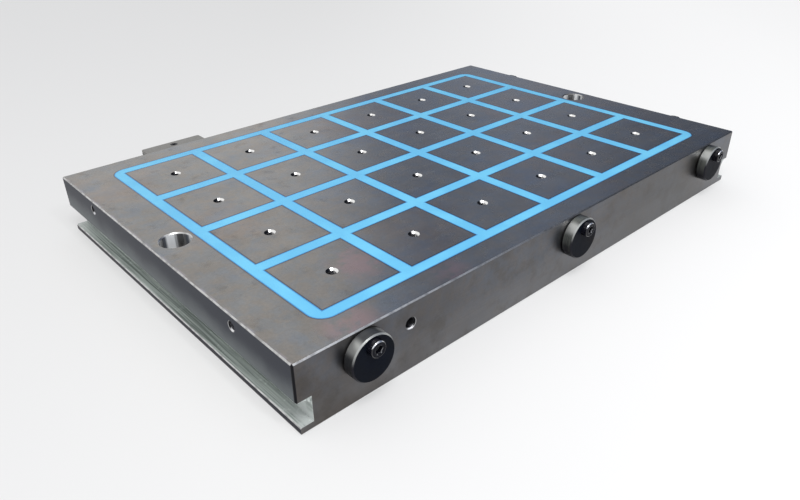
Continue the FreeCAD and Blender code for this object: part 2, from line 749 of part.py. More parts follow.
def make_coil_potting(side_magnets, windings):
    """Potting that fills the pocket round magnets, coils and leads, up to the blue resin."""
    fill = new_body("potting_block")
    outline = new_sketch(fill, "potting_outline", z="base_thickness")
    add_round_rectangle(outline, "pocket_length", "pocket_width", "pocket_round")
    extrude(fill, "Pad", "potting_fill", outline, "potting_top - base_thickness")

    space = new_body("column_space")
    lower = new_sketch(space, "magnet_space_outline")
    add_rectangle(lower, "reversible_length", "reversible_width")
    extrude(space, "Pad", "magnet_space", lower, "reversible_height")
    upper = new_sketch(space, "pole_space_outline", z="reversible_height")
    add_rectangle(upper, "pole_length", "pole_width")
    extrude(space, "Pad", "pole_space", upper, "pole_height")
    spaces = grid_of_copies(space, "column_space", "base_thickness")
    round_columns = cut_away("potting_round_columns", fill, spaces)
    round_magnets = cut_away("potting_round_magnets", round_columns, side_magnets)
    return cut_away("coil_potting", round_magnets, windings)


def make_cap_screw(name, family, grip, bite):
    """Cap screw with its seat at z = 0, its head above and its shank below.

    The shank has the thread's outer radius over the grip and its core radius over the bite.
    """
    body = new_body(name)
    head = new_sketch(body, "head_outline")
    add_circle(head, family + "_head_radius")
    block = extrude(body, "Pad", "head", head, family + "_head_height")
    doc.recompute()
    rim = rim_edges(block.Shape, size(family + "_head_height"), size(family + "_head_radius"))
    break_edges(body, "head_rim", block, rim, "head_break")
    key = new_sketch(body, "key_outline", z=family + "_head_height")
    add_hexagon(key, family + "_key_width")
    extrude(body, "Pocket", "key_socket", key, family + "_key_depth")
    shank = new_sketch(body, "shank_outline")
    add_circle(shank, family + "_thread_radius")
    extrude(body, "Pad", "shank", shank, grip, reverse=True)
    core = new_sketch(body, "core_outline", z="-(%s)" % grip)
    add_circle(core, family + "_tap_radius - thread_clearance")
    extrude(body, "Pad", "threaded_end", core, bite, reverse=True)
    return body


def make_pole_screws():
    """Screws driven from the underside through the magnets into the poles."""
    master = make_cap_screw("pole_screw_master", "pole", "pole_screw_grip", "pole_screw_bite")
    return group("pole_screws", grid_of_copies(master, "pole_screw", "pole_screw_seat", FACE_DOWN))


def stop_places():
    """Name, outward turn and place of the screw axis of each side stop, with the outward direction."""
    places = []
    for number, side in enumerate(("left", "middle", "right")):
        x = "%d * stop_distance" % (number - 1)
        places.append(("stop_front_" + side, FACE_FRONT, x, "-plate_width / 2", "stop_level", (0, -1)))
    for side, name in ((-1, "front"), (1, "back")):
        y = "%d * end_stop_distance" % side
        places.append(("stop_end_" + name, FACE_RIGHT, "plate_length / 2", y, "end_stop_level", (1, 0)))
    return places


def make_stops():
    """Eccentric discs that hang below the working face and rise above it when they are turned."""
    master = new_body("stop_disc_master")
    outline = new_sketch(master, "disc_outline", y="-stop_offset")
    add_circle(outline, "stop_radius")
    disc = extrude(master, "Pad", "disc", outline, "stop_thickness")
    doc.recompute()
    rims = [rim_edges(disc.Shape, level, size("stop_radius"))[0] for level in (0, size("stop_thickness"))]
    break_edges(master, "disc_rims", disc, rims, "stop_edge_break")
    place = new_sketch(master, "pivot_place", z="stop_thickness")
    add_circle(place, "large_thread_radius + running_clearance")
    drill(master, "pivot_hole", place, "(large_thread_radius + running_clearance)",
          "stop_thickness + cut_overrun", "(large_head_radius + stop_head_clearance)", "stop_head_depth")
    screw = make_cap_screw("stop_screw_master", "large", "stop_grip", "stop_screw_bite")
    discs, screws = [], []
    for name, turn, x, y, level, (out_x, out_y) in stop_places():
        for piece, label, distance, pieces in ((master, name, "axial_clearance", discs),
                                               (screw, name + "_screw", "stop_grip", screws)):
            piece_x = "%s + %d * %s" % (x, out_x, distance)
            piece_y = "%s + %d * %s" % (y, out_y, distance)
            pieces.append(copy_of(piece, label, piece_x, piece_y, level, turn))
    return discs + [group("stop_screws", screws)]


def inner_block(body, name, x, level, height):
    """A block that bridges the housing's inside from its back wall to its outer wall."""
    outline = new_sketch(body, name + "_outline", "XZ_Plane", x=x, y=level, z="-box_wall")
    add_rectangle(outline, "pillar_side", height)
    return extrude(body, "Pad", name, outline, "box_inner_depth", reverse=True)


def make_junction_box():
    """Open-topped housing on the back face, screwed on through three solid corners."""
    body = new_body("junction_box")
    outline = new_sketch(body, "housing_outline", y="box_depth / 2")
    add_rectangle(outline, "box_length", "box_depth")
    block = extrude(body, "Pad", "housing", outline, "housing_height")
    doc.recompute()
    outer = size("box_depth") - 1e-6

    def on_outer_corner(first, second):
        return min(first.y, second.y) > outer and abs(first.x - second.x) < 1e-6

    break_edges(body, "outer_corners", block, outer_edges(block.Shape, on_outer_corner), "box_corner")
    inside = new_sketch(body, "inside_outline", y="box_depth / 2", z="housing_height")
    add_rectangle(inside, "box_length - 2 * box_wall", "box_inner_depth")
    extrude(body, "Pocket", "inside", inside, "housing_height - box_wall")
    for number, (side, level) in enumerate(box_screw_places()):
        inner_block(body, "pillar_%d" % number, "%d * pillar_place" % side, level, "pillar_side")
    inner_block(body, "lid_bridge", "0", "housing_height - lid_bridge_height / 2", "lid_bridge_height")
    for number, (side, level) in enumerate(box_screw_places()):
        place = new_sketch(body, "screw_place_%d" % number, "XZ_Plane", x="%d * pillar_place" % side, y=level,
                           z="-box_depth")
        add_circle(place, "small_pass_radius")
        drill(body, "screw_hole_%d" % number, place, "small_pass_radius", "box_depth + cut_overrun",
              "small_pocket_radius", "small_head_height + head_recess", reverse=True)
    top = new_sketch(body, "lid_screw_place", y="box_depth / 2", z="housing_height")
    add_circle(top, "small_tap_radius")
    drill(body, "lid_screw_hole", top, "small_tap_radius", "lid_screw_bite + drill_allowance")
    duct = new_sketch(body, "lead_hole_outline", "XZ_Plane", x="duct_place + box_distance",
                      y="lead_level - box_foot", z="cut_overrun")
    add_circle(duct, "duct_radius")
    extrude(body, "Pocket", "lead_hole", duct, "box_wall + 2 * cut_overrun")
    inlet = new_sketch(body, "inlet_hole_outline", "YZ_Plane", x="box_depth / 2", y="inlet_level - box_foot",
                       z="-box_length / 2 - cut_overrun")
    add_circle(inlet, "inlet_spigot_radius")
    extrude(body, "Pocket", "inlet_hole", inlet, "box_wall + 2 * cut_overrun", reverse=True)
    move(body, "-box_distance", "box_face", "box_foot")
    return body


def make_box_seal():
    """Flat seal between the junction box and the chuck body."""
    body = new_body("box_seal")
    outline = new_sketch(body, "seal_outline", "XZ_Plane", y="housing_height / 2")
    add_rectangle(outline, "box_length", "housing_height")
    extrude(body, "Pad", "seal", outline, "box_seal")
    duct = new_sketch(body, "seal_duct", "XZ_Plane", x="duct_place + box_distance", y="lead_level - box_foot",
                      z="-cut_overrun")
    add_circle(duct, "duct_radius")
    extrude(body, "Pocket", "duct_hole", duct, "box_seal + 2 * cut_overrun", reverse=True)
    for number, (side, level) in enumerate(box_screw_places()):
        place = new_sketch(body, "seal_screw_%d" % number, "XZ_Plane", x="%d * pillar_place" % side, y=level,
                           z="-cut_overrun")
        add_circle(place, "small_pass_radius")
        extrude(body, "Pocket", "screw_hole_%d" % number, place, "box_seal + 2 * cut_overrun", reverse=True)
    move(body, "-box_distance", "box_face", "box_foot")
    return body


def box_cover(name, thickness):
    """Plate of the housing's outline, for the lid and for the gasket under it."""
    body = new_body(name)
    outline = new_sketch(body, "cover_outline", y="box_depth / 2")
    add_rectangle(outline, "box_length", "box_depth")
    block = extrude(body, "Pad", "cover", outline, thickness)
    doc.recompute()
    outer = size("box_depth") - 1e-6

    def on_outer_corner(first, second):
        return min(first.y, second.y) > outer and abs(first.x - second.x) < 1e-6

    break_edges(body, "outer_corners", block, outer_edges(block.Shape, on_outer_corner), "box_corner")
    return body


def make_lid_and_gasket():
    gasket = box_cover("lid_gasket", "gasket_thickness")
    place = new_sketch(gasket, "screw_clearance", y="box_depth / 2", z="gasket_thickness")
    add_circle(place, "small_pass_radius")
    extrude(gasket, "Pocket", "screw_hole", place, "gasket_thickness + cut_overrun")
    for side in (-1, 1):
        window = new_sketch(gasket, "window_%d" % (side + 2), y="box_depth / 2", z="gasket_thickness",
                            x="%d * (box_length / 4 - box_wall / 2 + pillar_side / 4)" % side)
        add_rectangle(window, "box_length / 2 - box_wall - pillar_side / 2", "box_inner_depth")
        extrude(gasket, "Pocket", "opening_%d" % (side + 2), window, "gasket_thickness + cut_overrun")
    move(gasket, "-box_distance", "box_face", "box_foot + housing_height")

    lid = box_cover("junction_box_lid", "lid_thickness")
    place = new_sketch(lid, "lid_screw_place", y="box_depth / 2", z="lid_thickness")
    add_circle(place, "small_pass_radius")
    drill(lid, "lid_screw_hole", place, "small_pass_radius", "lid_thickness + cut_overrun", "lid_screw_head")
    move(lid, "-box_distance", "box_face", "box_foot + housing_height + gasket_thickness")
    return [gasket, lid]


def make_lid_screw():
    """Countersunk screw in the middle of the lid."""
    body = new_body("lid_screw")
    reach = "-lid_thickness - gasket_thickness"
    corners = (("0", "0"), ("lid_screw_head", "0"),
               ("small_thread_radius", "small_thread_radius - lid_screw_head"),
               ("small_thread_radius", reach), ("small_tap_radius - thread_clearance", reach),
               ("small_tap_radius - thread_clearance", reach + " - lid_screw_bite"),
               ("0", reach + " - lid_screw_bite"))
    turn_up(body, "screw_body", corners)
    key = new_sketch(body, "key_outline")
    add_hexagon(key, "small_key_width")
    extrude(body, "Pocket", "key_socket", key, "small_key_depth")
    move(body, "-box_distance", "box_centre", "plate_height - box_drop")
    return body


def make_box_screws():
    """Screws through the housing's corners into the chuck body."""
    grip = "(box_depth - small_head_height - head_recess + box_seal)"
    master = make_cap_screw("box_screw_master", "small", grip, "box_screw_bite")
    seat = "box_face + box_depth - small_head_height - head_recess"
    copies = []
    for number, (side, level) in enumerate(box_screw_places()):
        x = "-box_distance + %d * pillar_place" % side
        copies.append(copy_of(master, "box_screw_%d" % number, x, seat, "box_foot + " + level, FACE_BACK))
    return group("junction_box_screws", copies)


def make_inlet():
    """Threaded plug inlet on the box's left wall, with its insulator and pins; z points out of its mouth."""
    shell = new_body("inlet_shell")
    rim = "inlet_flange_thickness + inlet_barrel_length"
    corners = (("0", "-inlet_spigot_length"), ("inlet_spigot_radius", "-inlet_spigot_length"),
               ("inlet_spigot_radius", "0"), ("inlet_flange_radius", "0"),
               ("inlet_flange_radius", "inlet_flange_thickness"),
               ("inlet_barrel_radius", "inlet_flange_thickness"), ("inlet_barrel_radius", rim),
               ("inlet_bore_radius", rim), ("inlet_bore_radius", rim + " - inlet_bore_depth"),
               ("0", rim + " - inlet_bore_depth"))
    turn_up(shell, "shell", corners)
    floor = rim + " - inlet_bore_depth"

    insulator = new_body("inlet_insulator")
    disc = new_sketch(insulator, "insulator_outline", z=floor)
    add_circle(disc, "inlet_bore_radius")
    extrude(insulator, "Pad", "insulator", disc, "insulator_thickness")

    pins = new_body("inlet_pins")
    foot = new_sketch(pins, "pin_outline", x="pin_circle_radius", z=floor + " + insulator_thickness")
    add_circle(foot, "pin_radius")
    pin = extrude(pins, "Pad", "pin", foot, "pin_length - insulator_thickness")
    doc.recompute()
    ring = pins.newObject("PartDesign::PolarPattern", "pin_ring")
    ring.Originals = [pin]
    ring.Axis = (next(item for item in pins.Origin.OriginFeatures if item.Role == "Z_Axis"), [""])
    ring.Angle = 360
    bind(ring, "Occurrences", "pin_count")
    pins.Tip = ring
    for body in (shell, insulator, pins):
        move(body, "inlet_face", "box_centre", "inlet_level", FACE_LEFT)
    return [shell, insulator, pins]


def make_terminal_block():
    """Terminal block on the box's floor, with clamp screw recesses in its top."""
    body = new_body("terminal_block")
    outline = new_sketch(body, "block_outline")
    add_rectangle(outline, "terminal_length", "terminal_depth")
    extrude(body, "Pad", "block", outline, "terminal_height")
    for side in (-1, 1):
        place = new_sketch(body, "recess_place_%d" % (side + 2), x="%d * terminal_screw_pitch" % side,
                           z="terminal_height")
        add_circle(place, "terminal_screw_radius")
        extrude(body, "Pocket", "recess_%d" % (side + 2), place, "terminal_screw_depth")
    move(body, "terminal_place", "box_centre", "terminal_foot")
    return body


def tube_along(name, corners, bends, radius):
    """A round tube along straight runs joined by tangent arcs, one bend radius for each inner corner."""
    points = [Vector(*corner) for corner in corners]
    edges = []
    start = points[0]
    for before, corner, after, bend in zip(points, points[1:], points[2:], bends):
        back = (before - corner).normalize()
        ahead = (after - corner).normalize()
        half = back.getAngle(ahead) / 2
        entry = corner + back * (bend / math.tan(half))
        leave = corner + ahead * (bend / math.tan(half))
        centre = corner + (back + ahead).normalize() * (bend / math.sin(half))
        middle = centre + (corner - centre).normalize() * bend
        edges.append(Part.LineSegment(start, entry).toShape())
        edges.append(Part.Arc(entry, middle, leave).toShape())
        start = leave
    edges.append(Part.LineSegment(start, points[-1]).toShape())
    ring = Part.Wire([Part.Circle(points[0], points[1] - points[0], radius).toShape()])
    tube = doc.addObject("Part::Feature", name)
    tube.Label = name
    tube.Shape = Part.Wire(edges).makePipeShell([ring], True, False)
    return tube


def make_lead_harness():
    """Leads from the coil rows along the pocket's left and back walls, through the duct to the terminals."""
    level = size("lead_level")
    lane = -size("lead_lane")
    cross = size("lead_cross")
    duct = size("duct_place")
    inside = size("box_centre")
    first_row = -size("grid_width") / 2 - size("jumper_width")
    end = size("terminal_place") - size("terminal_length") / 2
    corners = ((lane, first_row, level), (lane, cross, level), (duct, cross, level),
               (duct, inside, level), (end, inside, level))
    bends = (size("lead_corner"), size("lead_bend"), size("lead_bend"))
    return tube_along("lead_harness", corners, bends, size("lead_radius"))


def make_inlet_leads():
    """Leads from the inlet's back, under the lid's bridge, down to the terminal block."""
    inside = size("box_centre")
    high = size("inlet_level")
    low = high - size("inlet_lead_drop")
    start = size("inlet_face") + size("inlet_spigot_length")
    bend_down = start + size("inlet_lead_run")
    block = size("terminal_place")
    block_top = size("terminal_foot") + size("terminal_height")
    corners = ((start, inside, high), (bend_down, inside, high), (bend_down, inside, low),
               (block, inside, low), (block, inside, block_top))
    bends = [size("inlet_lead_bend")] * 3
    return tube_along("inlet_leads", corners, bends, size("inlet_lead_radius"))


nodes = [make_chuck_body()] + make_poles() + make_reversible_magnets()
coils = make_coil_rows()
side_magnets = make_side_magnets()
harness = make_lead_harness()
nodes += coils + side_magnets + [harness, make_top_resin(), make_pole_screws()] + make_stops()
nodes += [make_junction_box(), make_box_seal(), make_box_screws()] + make_lid_and_gasket()
nodes += [make_lid_screw(), make_terminal_block(), make_inlet_leads()] + make_inlet()
nodes.append(make_coil_potting(side_magnets, coils + [harness]))
doc.recompute()

faults = [item.Name for item in doc.Objects if {"Invalid", "Error"} & set(item.State)]
shapes = {}
for node in nodes:
    shape = Part.getShape(node)
    if shape.isNull() or not shape.isValid() or not shape.Solids:
        faults.append(node.Label)
    shapes[node.Label] = shape
if faults:
    raise SystemExit("failed: " + ", ".join(faults))

for label, shape in shapes.items():
    shape.exportStep(os.path.join("parts", label + ".step"))
print(len(shapes), "sub-parts,", sum(len(shape.Solids) for shape in shapes.values()), "solids")
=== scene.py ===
"""Looks of an electro-permanent magnetic chuck: steel plate, 24 poles in blue resin, side stops.

Metres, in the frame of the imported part: x along the long side, y towards the junction box, z up, the
origin at the centre of the underside. Textures read Object coordinates.
"""

import json
import math

import bpy
import numpy as np
from mathutils import Matrix, Vector


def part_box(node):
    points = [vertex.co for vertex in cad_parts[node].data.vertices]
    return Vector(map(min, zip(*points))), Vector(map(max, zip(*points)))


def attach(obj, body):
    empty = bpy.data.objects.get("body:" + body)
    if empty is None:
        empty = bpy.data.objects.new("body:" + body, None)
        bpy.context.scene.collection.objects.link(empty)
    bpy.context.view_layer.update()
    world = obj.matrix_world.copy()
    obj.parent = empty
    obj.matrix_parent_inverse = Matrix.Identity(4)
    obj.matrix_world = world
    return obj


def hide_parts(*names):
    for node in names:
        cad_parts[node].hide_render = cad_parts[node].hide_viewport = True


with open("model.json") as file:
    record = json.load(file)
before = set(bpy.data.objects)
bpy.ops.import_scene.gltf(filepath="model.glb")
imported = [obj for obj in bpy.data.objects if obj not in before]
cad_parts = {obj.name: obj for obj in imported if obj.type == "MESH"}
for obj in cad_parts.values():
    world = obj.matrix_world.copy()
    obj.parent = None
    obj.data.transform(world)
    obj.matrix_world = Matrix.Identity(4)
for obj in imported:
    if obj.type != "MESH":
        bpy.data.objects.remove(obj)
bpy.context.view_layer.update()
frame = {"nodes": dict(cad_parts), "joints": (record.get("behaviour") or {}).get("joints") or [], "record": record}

MM = 0.001

# Camera, found from the plate's corners and the pole holes in the photograph
IMAGE_WIDTH = 800
SENSOR_WIDTH = 36.0
FOCAL_PIXELS = 679.7
CAMERA_PLACE = Vector((-0.4693, -0.4895, 0.3302))
CAMERA_AIM = Vector((-0.1546, -0.1401, 0.06))
CAMERA_ROLL = math.radians(-0.77)


def box_of(name):
    """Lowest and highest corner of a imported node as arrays."""
    low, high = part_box(name)
    return np.array(low), np.array(high)


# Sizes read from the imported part
PLATE_LOW, PLATE_HIGH = box_of("chuck_body")
HALF_LENGTH, HALF_WIDTH, TOP = (float(reach) for reach in PLATE_HIGH)
HALF_RESIN = [float(reach) for reach in box_of("top_resin")[1][:2]]
POLE_LOW, POLE_HIGH = box_of("pole_row1_col1")
POLE_SIDE = float(POLE_HIGH[0] - POLE_LOW[0])
POLE_PITCH = float(box_of("pole_row1_col2")[0][0] - POLE_LOW[0])
SCREWS_LOW, SCREWS_HIGH = box_of("stop_screws")
MOUNTS = {mount["name"]: mount for mount in frame["record"]["mounts"]}
MOUNTING_HOLE_X = MOUNTS["mounting_holes"]["dims"]["spacing_x_mm"] / 2 * MM
STOP_HOLE_Y = MOUNTS["left_stop_holes"]["dims"]["spacing_x_mm"] / 2 * MM
STOP_HOLE_Z = MOUNTS["left_stop_holes"]["pos_m"][2]
EYE_HOLE_X, _, EYE_HOLE_Z = MOUNTS["eye_hole_back"]["pos_m"]

# Sizes of the plate that its boxes don't give
POLE_COLUMNS = 6
POLE_ROWS = 4
RESIN_ROUND = 14 * MM
GROOVE_WALL = HALF_LENGTH - 12 * MM
GROOVE_ROOF = 28 * MM
FOOT_TOP = 6.5 * MM

# Reach of the finish round a hole's axis, just over the hole's own radius, and in from the plate's side
MOUNTING_REACH = 14.3 * MM
STOP_HOLE_REACH = 4.7 * MM
EYE_HOLE_REACH = 5.4 * MM
HOLE_ZONE = 20 * MM

# Sizes of the cap screws and tapped holes, millimetres
LARGE_SCREW = {"head": 6.5, "height": 8.0, "key": 3.0, "key_depth": 4.0, "shank": 4.0, "core": 3.35}
POLE_SCREW = {"head": 8.0, "height": 6.5, "key": 3.5, "key_depth": 3.5, "shank": 5.0, "core": 4.2}
HEAD_ROUND = 1.2
HOLE_CORE = 3.4
HOLE_PITCH = 1.25
EYE_CORE = 4.25
EYE_PITCH = 1.5

# Level direction towards the studio's bright side
BRIGHT_SIDE = (0.74, -0.67, 0.0)


# Camera

def add_camera():
    """The photograph's viewpoint: look at the aim point, then roll about the line of sight."""
    data = bpy.data.cameras.new("photo_camera")
    data.sensor_width = SENSOR_WIDTH
    data.lens = SENSOR_WIDTH * FOCAL_PIXELS / IMAGE_WIDTH
    data.clip_start = 0.01
    camera = bpy.data.objects.new("photo_camera", data)
    bpy.context.scene.collection.objects.link(camera)
    turn = (CAMERA_AIM - CAMERA_PLACE).to_track_quat("-Z", "Y").to_matrix().to_4x4()
    camera.matrix_world = Matrix.Translation(CAMERA_PLACE) @ turn @ Matrix.Rotation(CAMERA_ROLL, 4, "Z")
    bpy.context.scene.camera = camera


# Shader helpers

def node(tree, kind, settings=None, **inputs):
    """Add a shader node; an input is linked where its value is a socket, and set otherwise."""
    item = tree.nodes.new("ShaderNode" + kind)
    for name, value in (settings or {}).items():
        setattr(item, name, value)
    for name, value in inputs.items():
        fill(tree, item.inputs[name.replace("_", " ")], value)
    return item


def fill(tree, socket, value):
    if isinstance(value, bpy.types.NodeSocket):
        tree.links.new(value, socket)
    else:
        socket.default_value = value


def calc(tree, operation, *values):
    """One Math node."""
    item = tree.nodes.new("ShaderNodeMath")
    item.operation = operation
    for socket, value in zip(item.inputs, values):
        fill(tree, socket, value)
    return item.outputs[0]


def product(tree, first, *others):
    for other in others:
        first = calc(tree, "MULTIPLY", first, other)
    return first


def away(tree, value):
    """One minus a value."""
    return calc(tree, "SUBTRACT", 1.0, value)


def ramp(tree, value, low, high, to_low=0.0, to_high=1.0):
    """A smooth step of a value from one limit to another."""
    item = node(tree, "MapRange", {"interpolation_type": "SMOOTHSTEP"}, Value=value, From_Min=low,
                From_Max=high, To_Min=to_low, To_Max=to_high)
    return item.outputs["Result"]


def inside(tree, value, edge, start, end):
    """A smooth step of a value between two distances inside an edge, in millimetres."""
    return ramp(tree, value, edge - start * MM, edge - end * MM)


def blend(tree, amount, first, second, mode="MIX"):
    """Mix two colours by an amount."""
    item = tree.nodes.new("ShaderNodeMix")
    item.data_type = "RGBA"
    item.blend_type = mode
    fill(tree, item.inputs[0], amount)
    fill(tree, item.inputs[6], first)
    fill(tree, item.inputs[7], second)
    return item.outputs[2]


def mix_values(tree, amount, first, second):
    item = tree.nodes.new("ShaderNodeMix")
    fill(tree, item.inputs[0], amount)
    fill(tree, item.inputs[2], first)
    fill(tree, item.inputs[3], second)
    return item.outputs[0]


def scaled(tree, place, factors):
    """A coordinate multiplied by a factor along each axis."""
    item = tree.nodes.new("ShaderNodeVectorMath")
    item.operation = "MULTIPLY"
    fill(tree, item.inputs[0], place)
    fill(tree, item.inputs[1], factors)
    return item.outputs[0]


def parts_of(tree, vector):
    return node(tree, "SeparateXYZ", None, Vector=vector).outputs


def grey(tree, value):
    return node(tree, "CombineColor", None, Red=value, Green=value, Blue=value).outputs[0]


def noise(tree, place, scale, detail=3.0, roughness=0.5):
    return node(tree, "TexNoise", None, Vector=place, Scale=scale, Detail=detail,
                Roughness=roughness).outputs["Fac"]


def own_normal(tree, kind):
    """The surface's direction in the piece's own frame, so that a finish turns with its piece."""
    settings = {"vector_type": "NORMAL", "convert_from": "WORLD", "convert_to": "OBJECT"}
    return node(tree, "VectorTransform", settings, Vector=node(tree, "NewGeometry").outputs[kind]).outputs[0]


def vector_math(tree, operation, first, second):
    """One Vector Math node that gives a number."""
    item = tree.nodes.new("ShaderNodeVectorMath")
    item.operation = operation
    fill(tree, item.inputs[0], first)
    fill(tree, item.inputs[1], second)
    return item.outputs["Value"]


def new_group(name, inputs, outputs):
    """An empty node group with named sockets: inputs as (name, kind, default), outputs as (name, kind)."""
    tree = bpy.data.node_groups.new(name, "ShaderNodeTree")
    for label, kind, default in inputs:
        socket = tree.interface.new_socket(label, in_out="INPUT", socket_type="NodeSocket" + kind)
        if default is not None:
            socket.default_value = default
    for label, kind in outputs:
        tree.interface.new_socket(label, in_out="OUTPUT", socket_type="NodeSocket" + kind)
    start = tree.nodes.new("NodeGroupInput").outputs
    end = tree.nodes.new("NodeGroupOutput").inputs
    return tree, start, end


def use_group(tree, group, **inputs):
    item = tree.nodes.new("ShaderNodeGroup")
    item.node_tree = group
    for name, value in inputs.items():
        fill(tree, item.inputs[name.replace("_", " ")], value)
    return item.outputs


# Finishes

# Middle and reach of the pinkish-red patches
BLUSHES = (((-0.188, -0.132, TOP), 0.036), ((-0.245, -0.190, TOP), 0.030), ((-0.150, -0.190, TOP), 0.025))

TOP_STEEL = (0.268, 0.262, 0.252, 1)
TOP_WARM = (0.285, 0.250, 0.228, 1)
TOP_COOL = (0.228, 0.250, 0.280, 1)
TOP_MARK = (0.1, 0.1, 0.1, 1)
TOP_FLECK = (0.75, 0.75, 0.72, 1)
# Worn rim along the ends, partly a painted highlight
TOP_WEAR_AND_HIGHLIGHT = (0.46, 0.44, 0.50, 1)
PINK_TINT = (0.380, 0.270, 0.270, 1)
RIM_LINE = (0.030, 0.045, 0.075, 1)

SIDE_STEEL = (0.130, 0.131, 0.139, 1)
SIDE_WARM = (0.122, 0.106, 0.094, 1)
SIDE_COOL = (0.118, 0.130, 0.152, 1)
# Painted reflection of the floor on the lower sides
SIDE_FLOOR_REFLECTION = (0.22, 0.22, 0.225, 1)
SIDE_BROWN = (0.078, 0.064, 0.052, 1)
SIDE_DARKER = (0.080, 0.080, 0.078, 1)
SIDE_MOTTLE = (0.060, 0.055, 0.048, 1)
SIDE_MARK = (0.06, 0.06, 0.065, 1)
END_STEEL = (0.120, 0.135, 0.142, 1)
# Painted shade on the end faces: darker towards the top, and near black low down
END_TOP_SHADE = (0.034, 0.038, 0.050, 1)
FOOT_SHADE = (0.012, 0.012, 0.022, 1)
# Broken edges: wear with a painted highlight, and painted shade where that highlight fades
EDGE_BRIGHT = (0.62, 0.62, 0.62, 1)
EDGE_SHADE = (0.085, 0.085, 0.088, 1)
NEAR_BLACK = (0.010, 0.010, 0.012, 1)
SCRAPED_DARK = (0.17, 0.195, 0.185, 1)
SCRAPED_PALE = (0.60, 0.65, 0.62, 1)
SCRAPED_END = (0.52, 0.55, 0.54, 1)

# Painted highlights, shades and reflections on the walls of the holes
HOLE_HIGHLIGHT = (0.90, 0.90, 0.89, 1)
HOLE_SHADE = (0.03, 0.03, 0.035, 1)
BORE_DARK_REFLECTION = (0.10, 0.11, 0.13, 1)
BORE_PALE_REFLECTION = (0.92, 0.94, 0.95, 1)
TAPPED_HIGHLIGHT = (0.90, 0.90, 0.92, 1)

RESIN_DEEP = (0.118, 0.460, 0.740, 1)
RESIN_PALE = (0.148, 0.530, 0.790, 1)
RESIN_RIM = (0.020, 0.150, 0.440, 1)
RESIN_PIT = (0.05, 0.25, 0.5, 1)

SCREW_BLACK = (0.006, 0.006, 0.009, 1)
SCREW_WARM = (0.010, 0.009, 0.009, 1)
SCREW_COOL = (0.004, 0.005, 0.011, 1)
SCREW_RUBBED = (0.06, 0.06, 0.07, 1)
# Painted glint on the stop screws' rims
SCREW_GLINT = (0.80, 0.82, 0.86, 1)

DISC_BLACK = (0.0045, 0.0060, 0.0100, 1)
DISC_WARM = (0.008, 0.007, 0.008, 1)
DISC_COOL = (0.003, 0.005, 0.011, 1)
DISC_TURNED_DARK = (0.085, 0.092, 0.085, 1)
DISC_TURNED_PALE = (0.20, 0.21, 0.195, 1)
DISC_OIL = (0.03, 0.03, 0.04, 1)
# Painted shade under the rim and on its lower broken edges, and a painted highlight on its upper ones
DISC_UNDERSIDE_SHADE = (0.020, 0.018, 0.024, 1)
DISC_EDGE_SHADE = (0.02, 0.02, 0.025, 1)
DISC_EDGE_HIGHLIGHT = (0.42, 0.43, 0.42, 1)


def tool_marks_group():
    """Fine parallel tool marks: noise stretched along one direction, with a slower waviness across it."""
    tree, start, end = new_group(
        "tool_marks",
        (("Place", "Vector", None), ("Stretch", "Vector", (4, 900, 900)),
         ("Wave Stretch", "Vector", (1, 90, 90))),
        (("Marks", "Float"), ("Waves", "Float")))
    tree.links.new(noise(tree, scaled(tree, start["Place"], start["Stretch"]), 1.0, 2.0), end["Marks"])
    tree.links.new(noise(tree, scaled(tree, start["Place"], start["Wave Stretch"]), 1.0, 2.0), end["Waves"])
    return tree


def patina_group():
    """Handled steel: a base colour with wide warm and cool patches, smudges and fine mottle."""
    tree, start, end = new_group(
        "patina",
        (("Place", "Vector", None), ("Steel", "Color", (0.2, 0.2, 0.2, 1)),
         ("Warm", "Color", (0.24, 0.2, 0.17, 1)), ("Cool", "Color", (0.17, 0.2, 0.24, 1)),
         ("Amount", "Float", 0.5)),
        (("Color", "Color"), ("Smudges", "Float")))
    wide = noise(tree, start["Place"], 11.0, 2.0)
    other = noise(tree, scaled(tree, start["Place"], (1.0, 1.3, 1.0)), 17.0, 2.0)
    warm = product(tree, ramp(tree, wide, 0.50, 0.68), start["Amount"])
    cool = product(tree, ramp(tree, other, 0.50, 0.70), start["Amount"])
    colour = blend(tree, warm, start["Steel"], start["Warm"])
    colour = blend(tree, cool, colour, start["Cool"])
    smudges = ramp(tree, noise(tree, start["Place"], 70.0, 4.0, 0.6), 0.54, 0.76)
    tint = ramp(tree, noise(tree, start["Place"], 95.0, 3.0, 0.6), 0.36, 0.64)
    tints = blend(tree, tint, (0.95, 0.99, 1.05, 1), (1.05, 1.0, 0.96, 1))
    colour = blend(tree, 1.0, colour, tints, "MULTIPLY")
    mottle = noise(tree, start["Place"], 420.0, 3.0, 0.7)
    blotch = noise(tree, start["Place"], 38.0, 3.0, 0.6)
    shade = calc(tree, "MULTIPLY_ADD", mottle, 0.34, calc(tree, "MULTIPLY_ADD", blotch, 0.42, 0.62))
    shade = calc(tree, "SUBTRACT", shade, product(tree, smudges, start["Amount"], 0.22))
    tree.links.new(blend(tree, 1.0, colour, grey(tree, shade), "MULTIPLY"), end["Color"])
    tree.links.new(smudges, end["Smudges"])
    return tree


def facing_group():
    """Masks of how a flat face lies: level, towards a short end, slanted like a broken edge, and of those
    edges the ones along the long sides."""
    tree, _, end = new_group("facing", (), (("Level", "Float"), ("End", "Float"), ("Slant", "Float"),
                                            ("Long", "Float")))
    parts = parts_of(tree, own_normal(tree, "True Normal"))
    size = [calc(tree, "ABSOLUTE", part) for part in parts]
    widest = calc(tree, "MAXIMUM", calc(tree, "MAXIMUM", size[0], size[1]), size[2])
    slant = away(tree, ramp(tree, widest, 0.80, 0.95))
    tree.links.new(ramp(tree, size[2], 0.85, 0.95), end["Level"])
    tree.links.new(ramp(tree, size[0], 0.85, 0.95), end["End"])
    tree.links.new(slant, end["Slant"])
    sloping = product(tree, ramp(tree, size[1], 0.2, 0.4), ramp(tree, size[2], 0.2, 0.4))
    tree.links.new(product(tree, slant, sloping), end["Long"])
    return tree


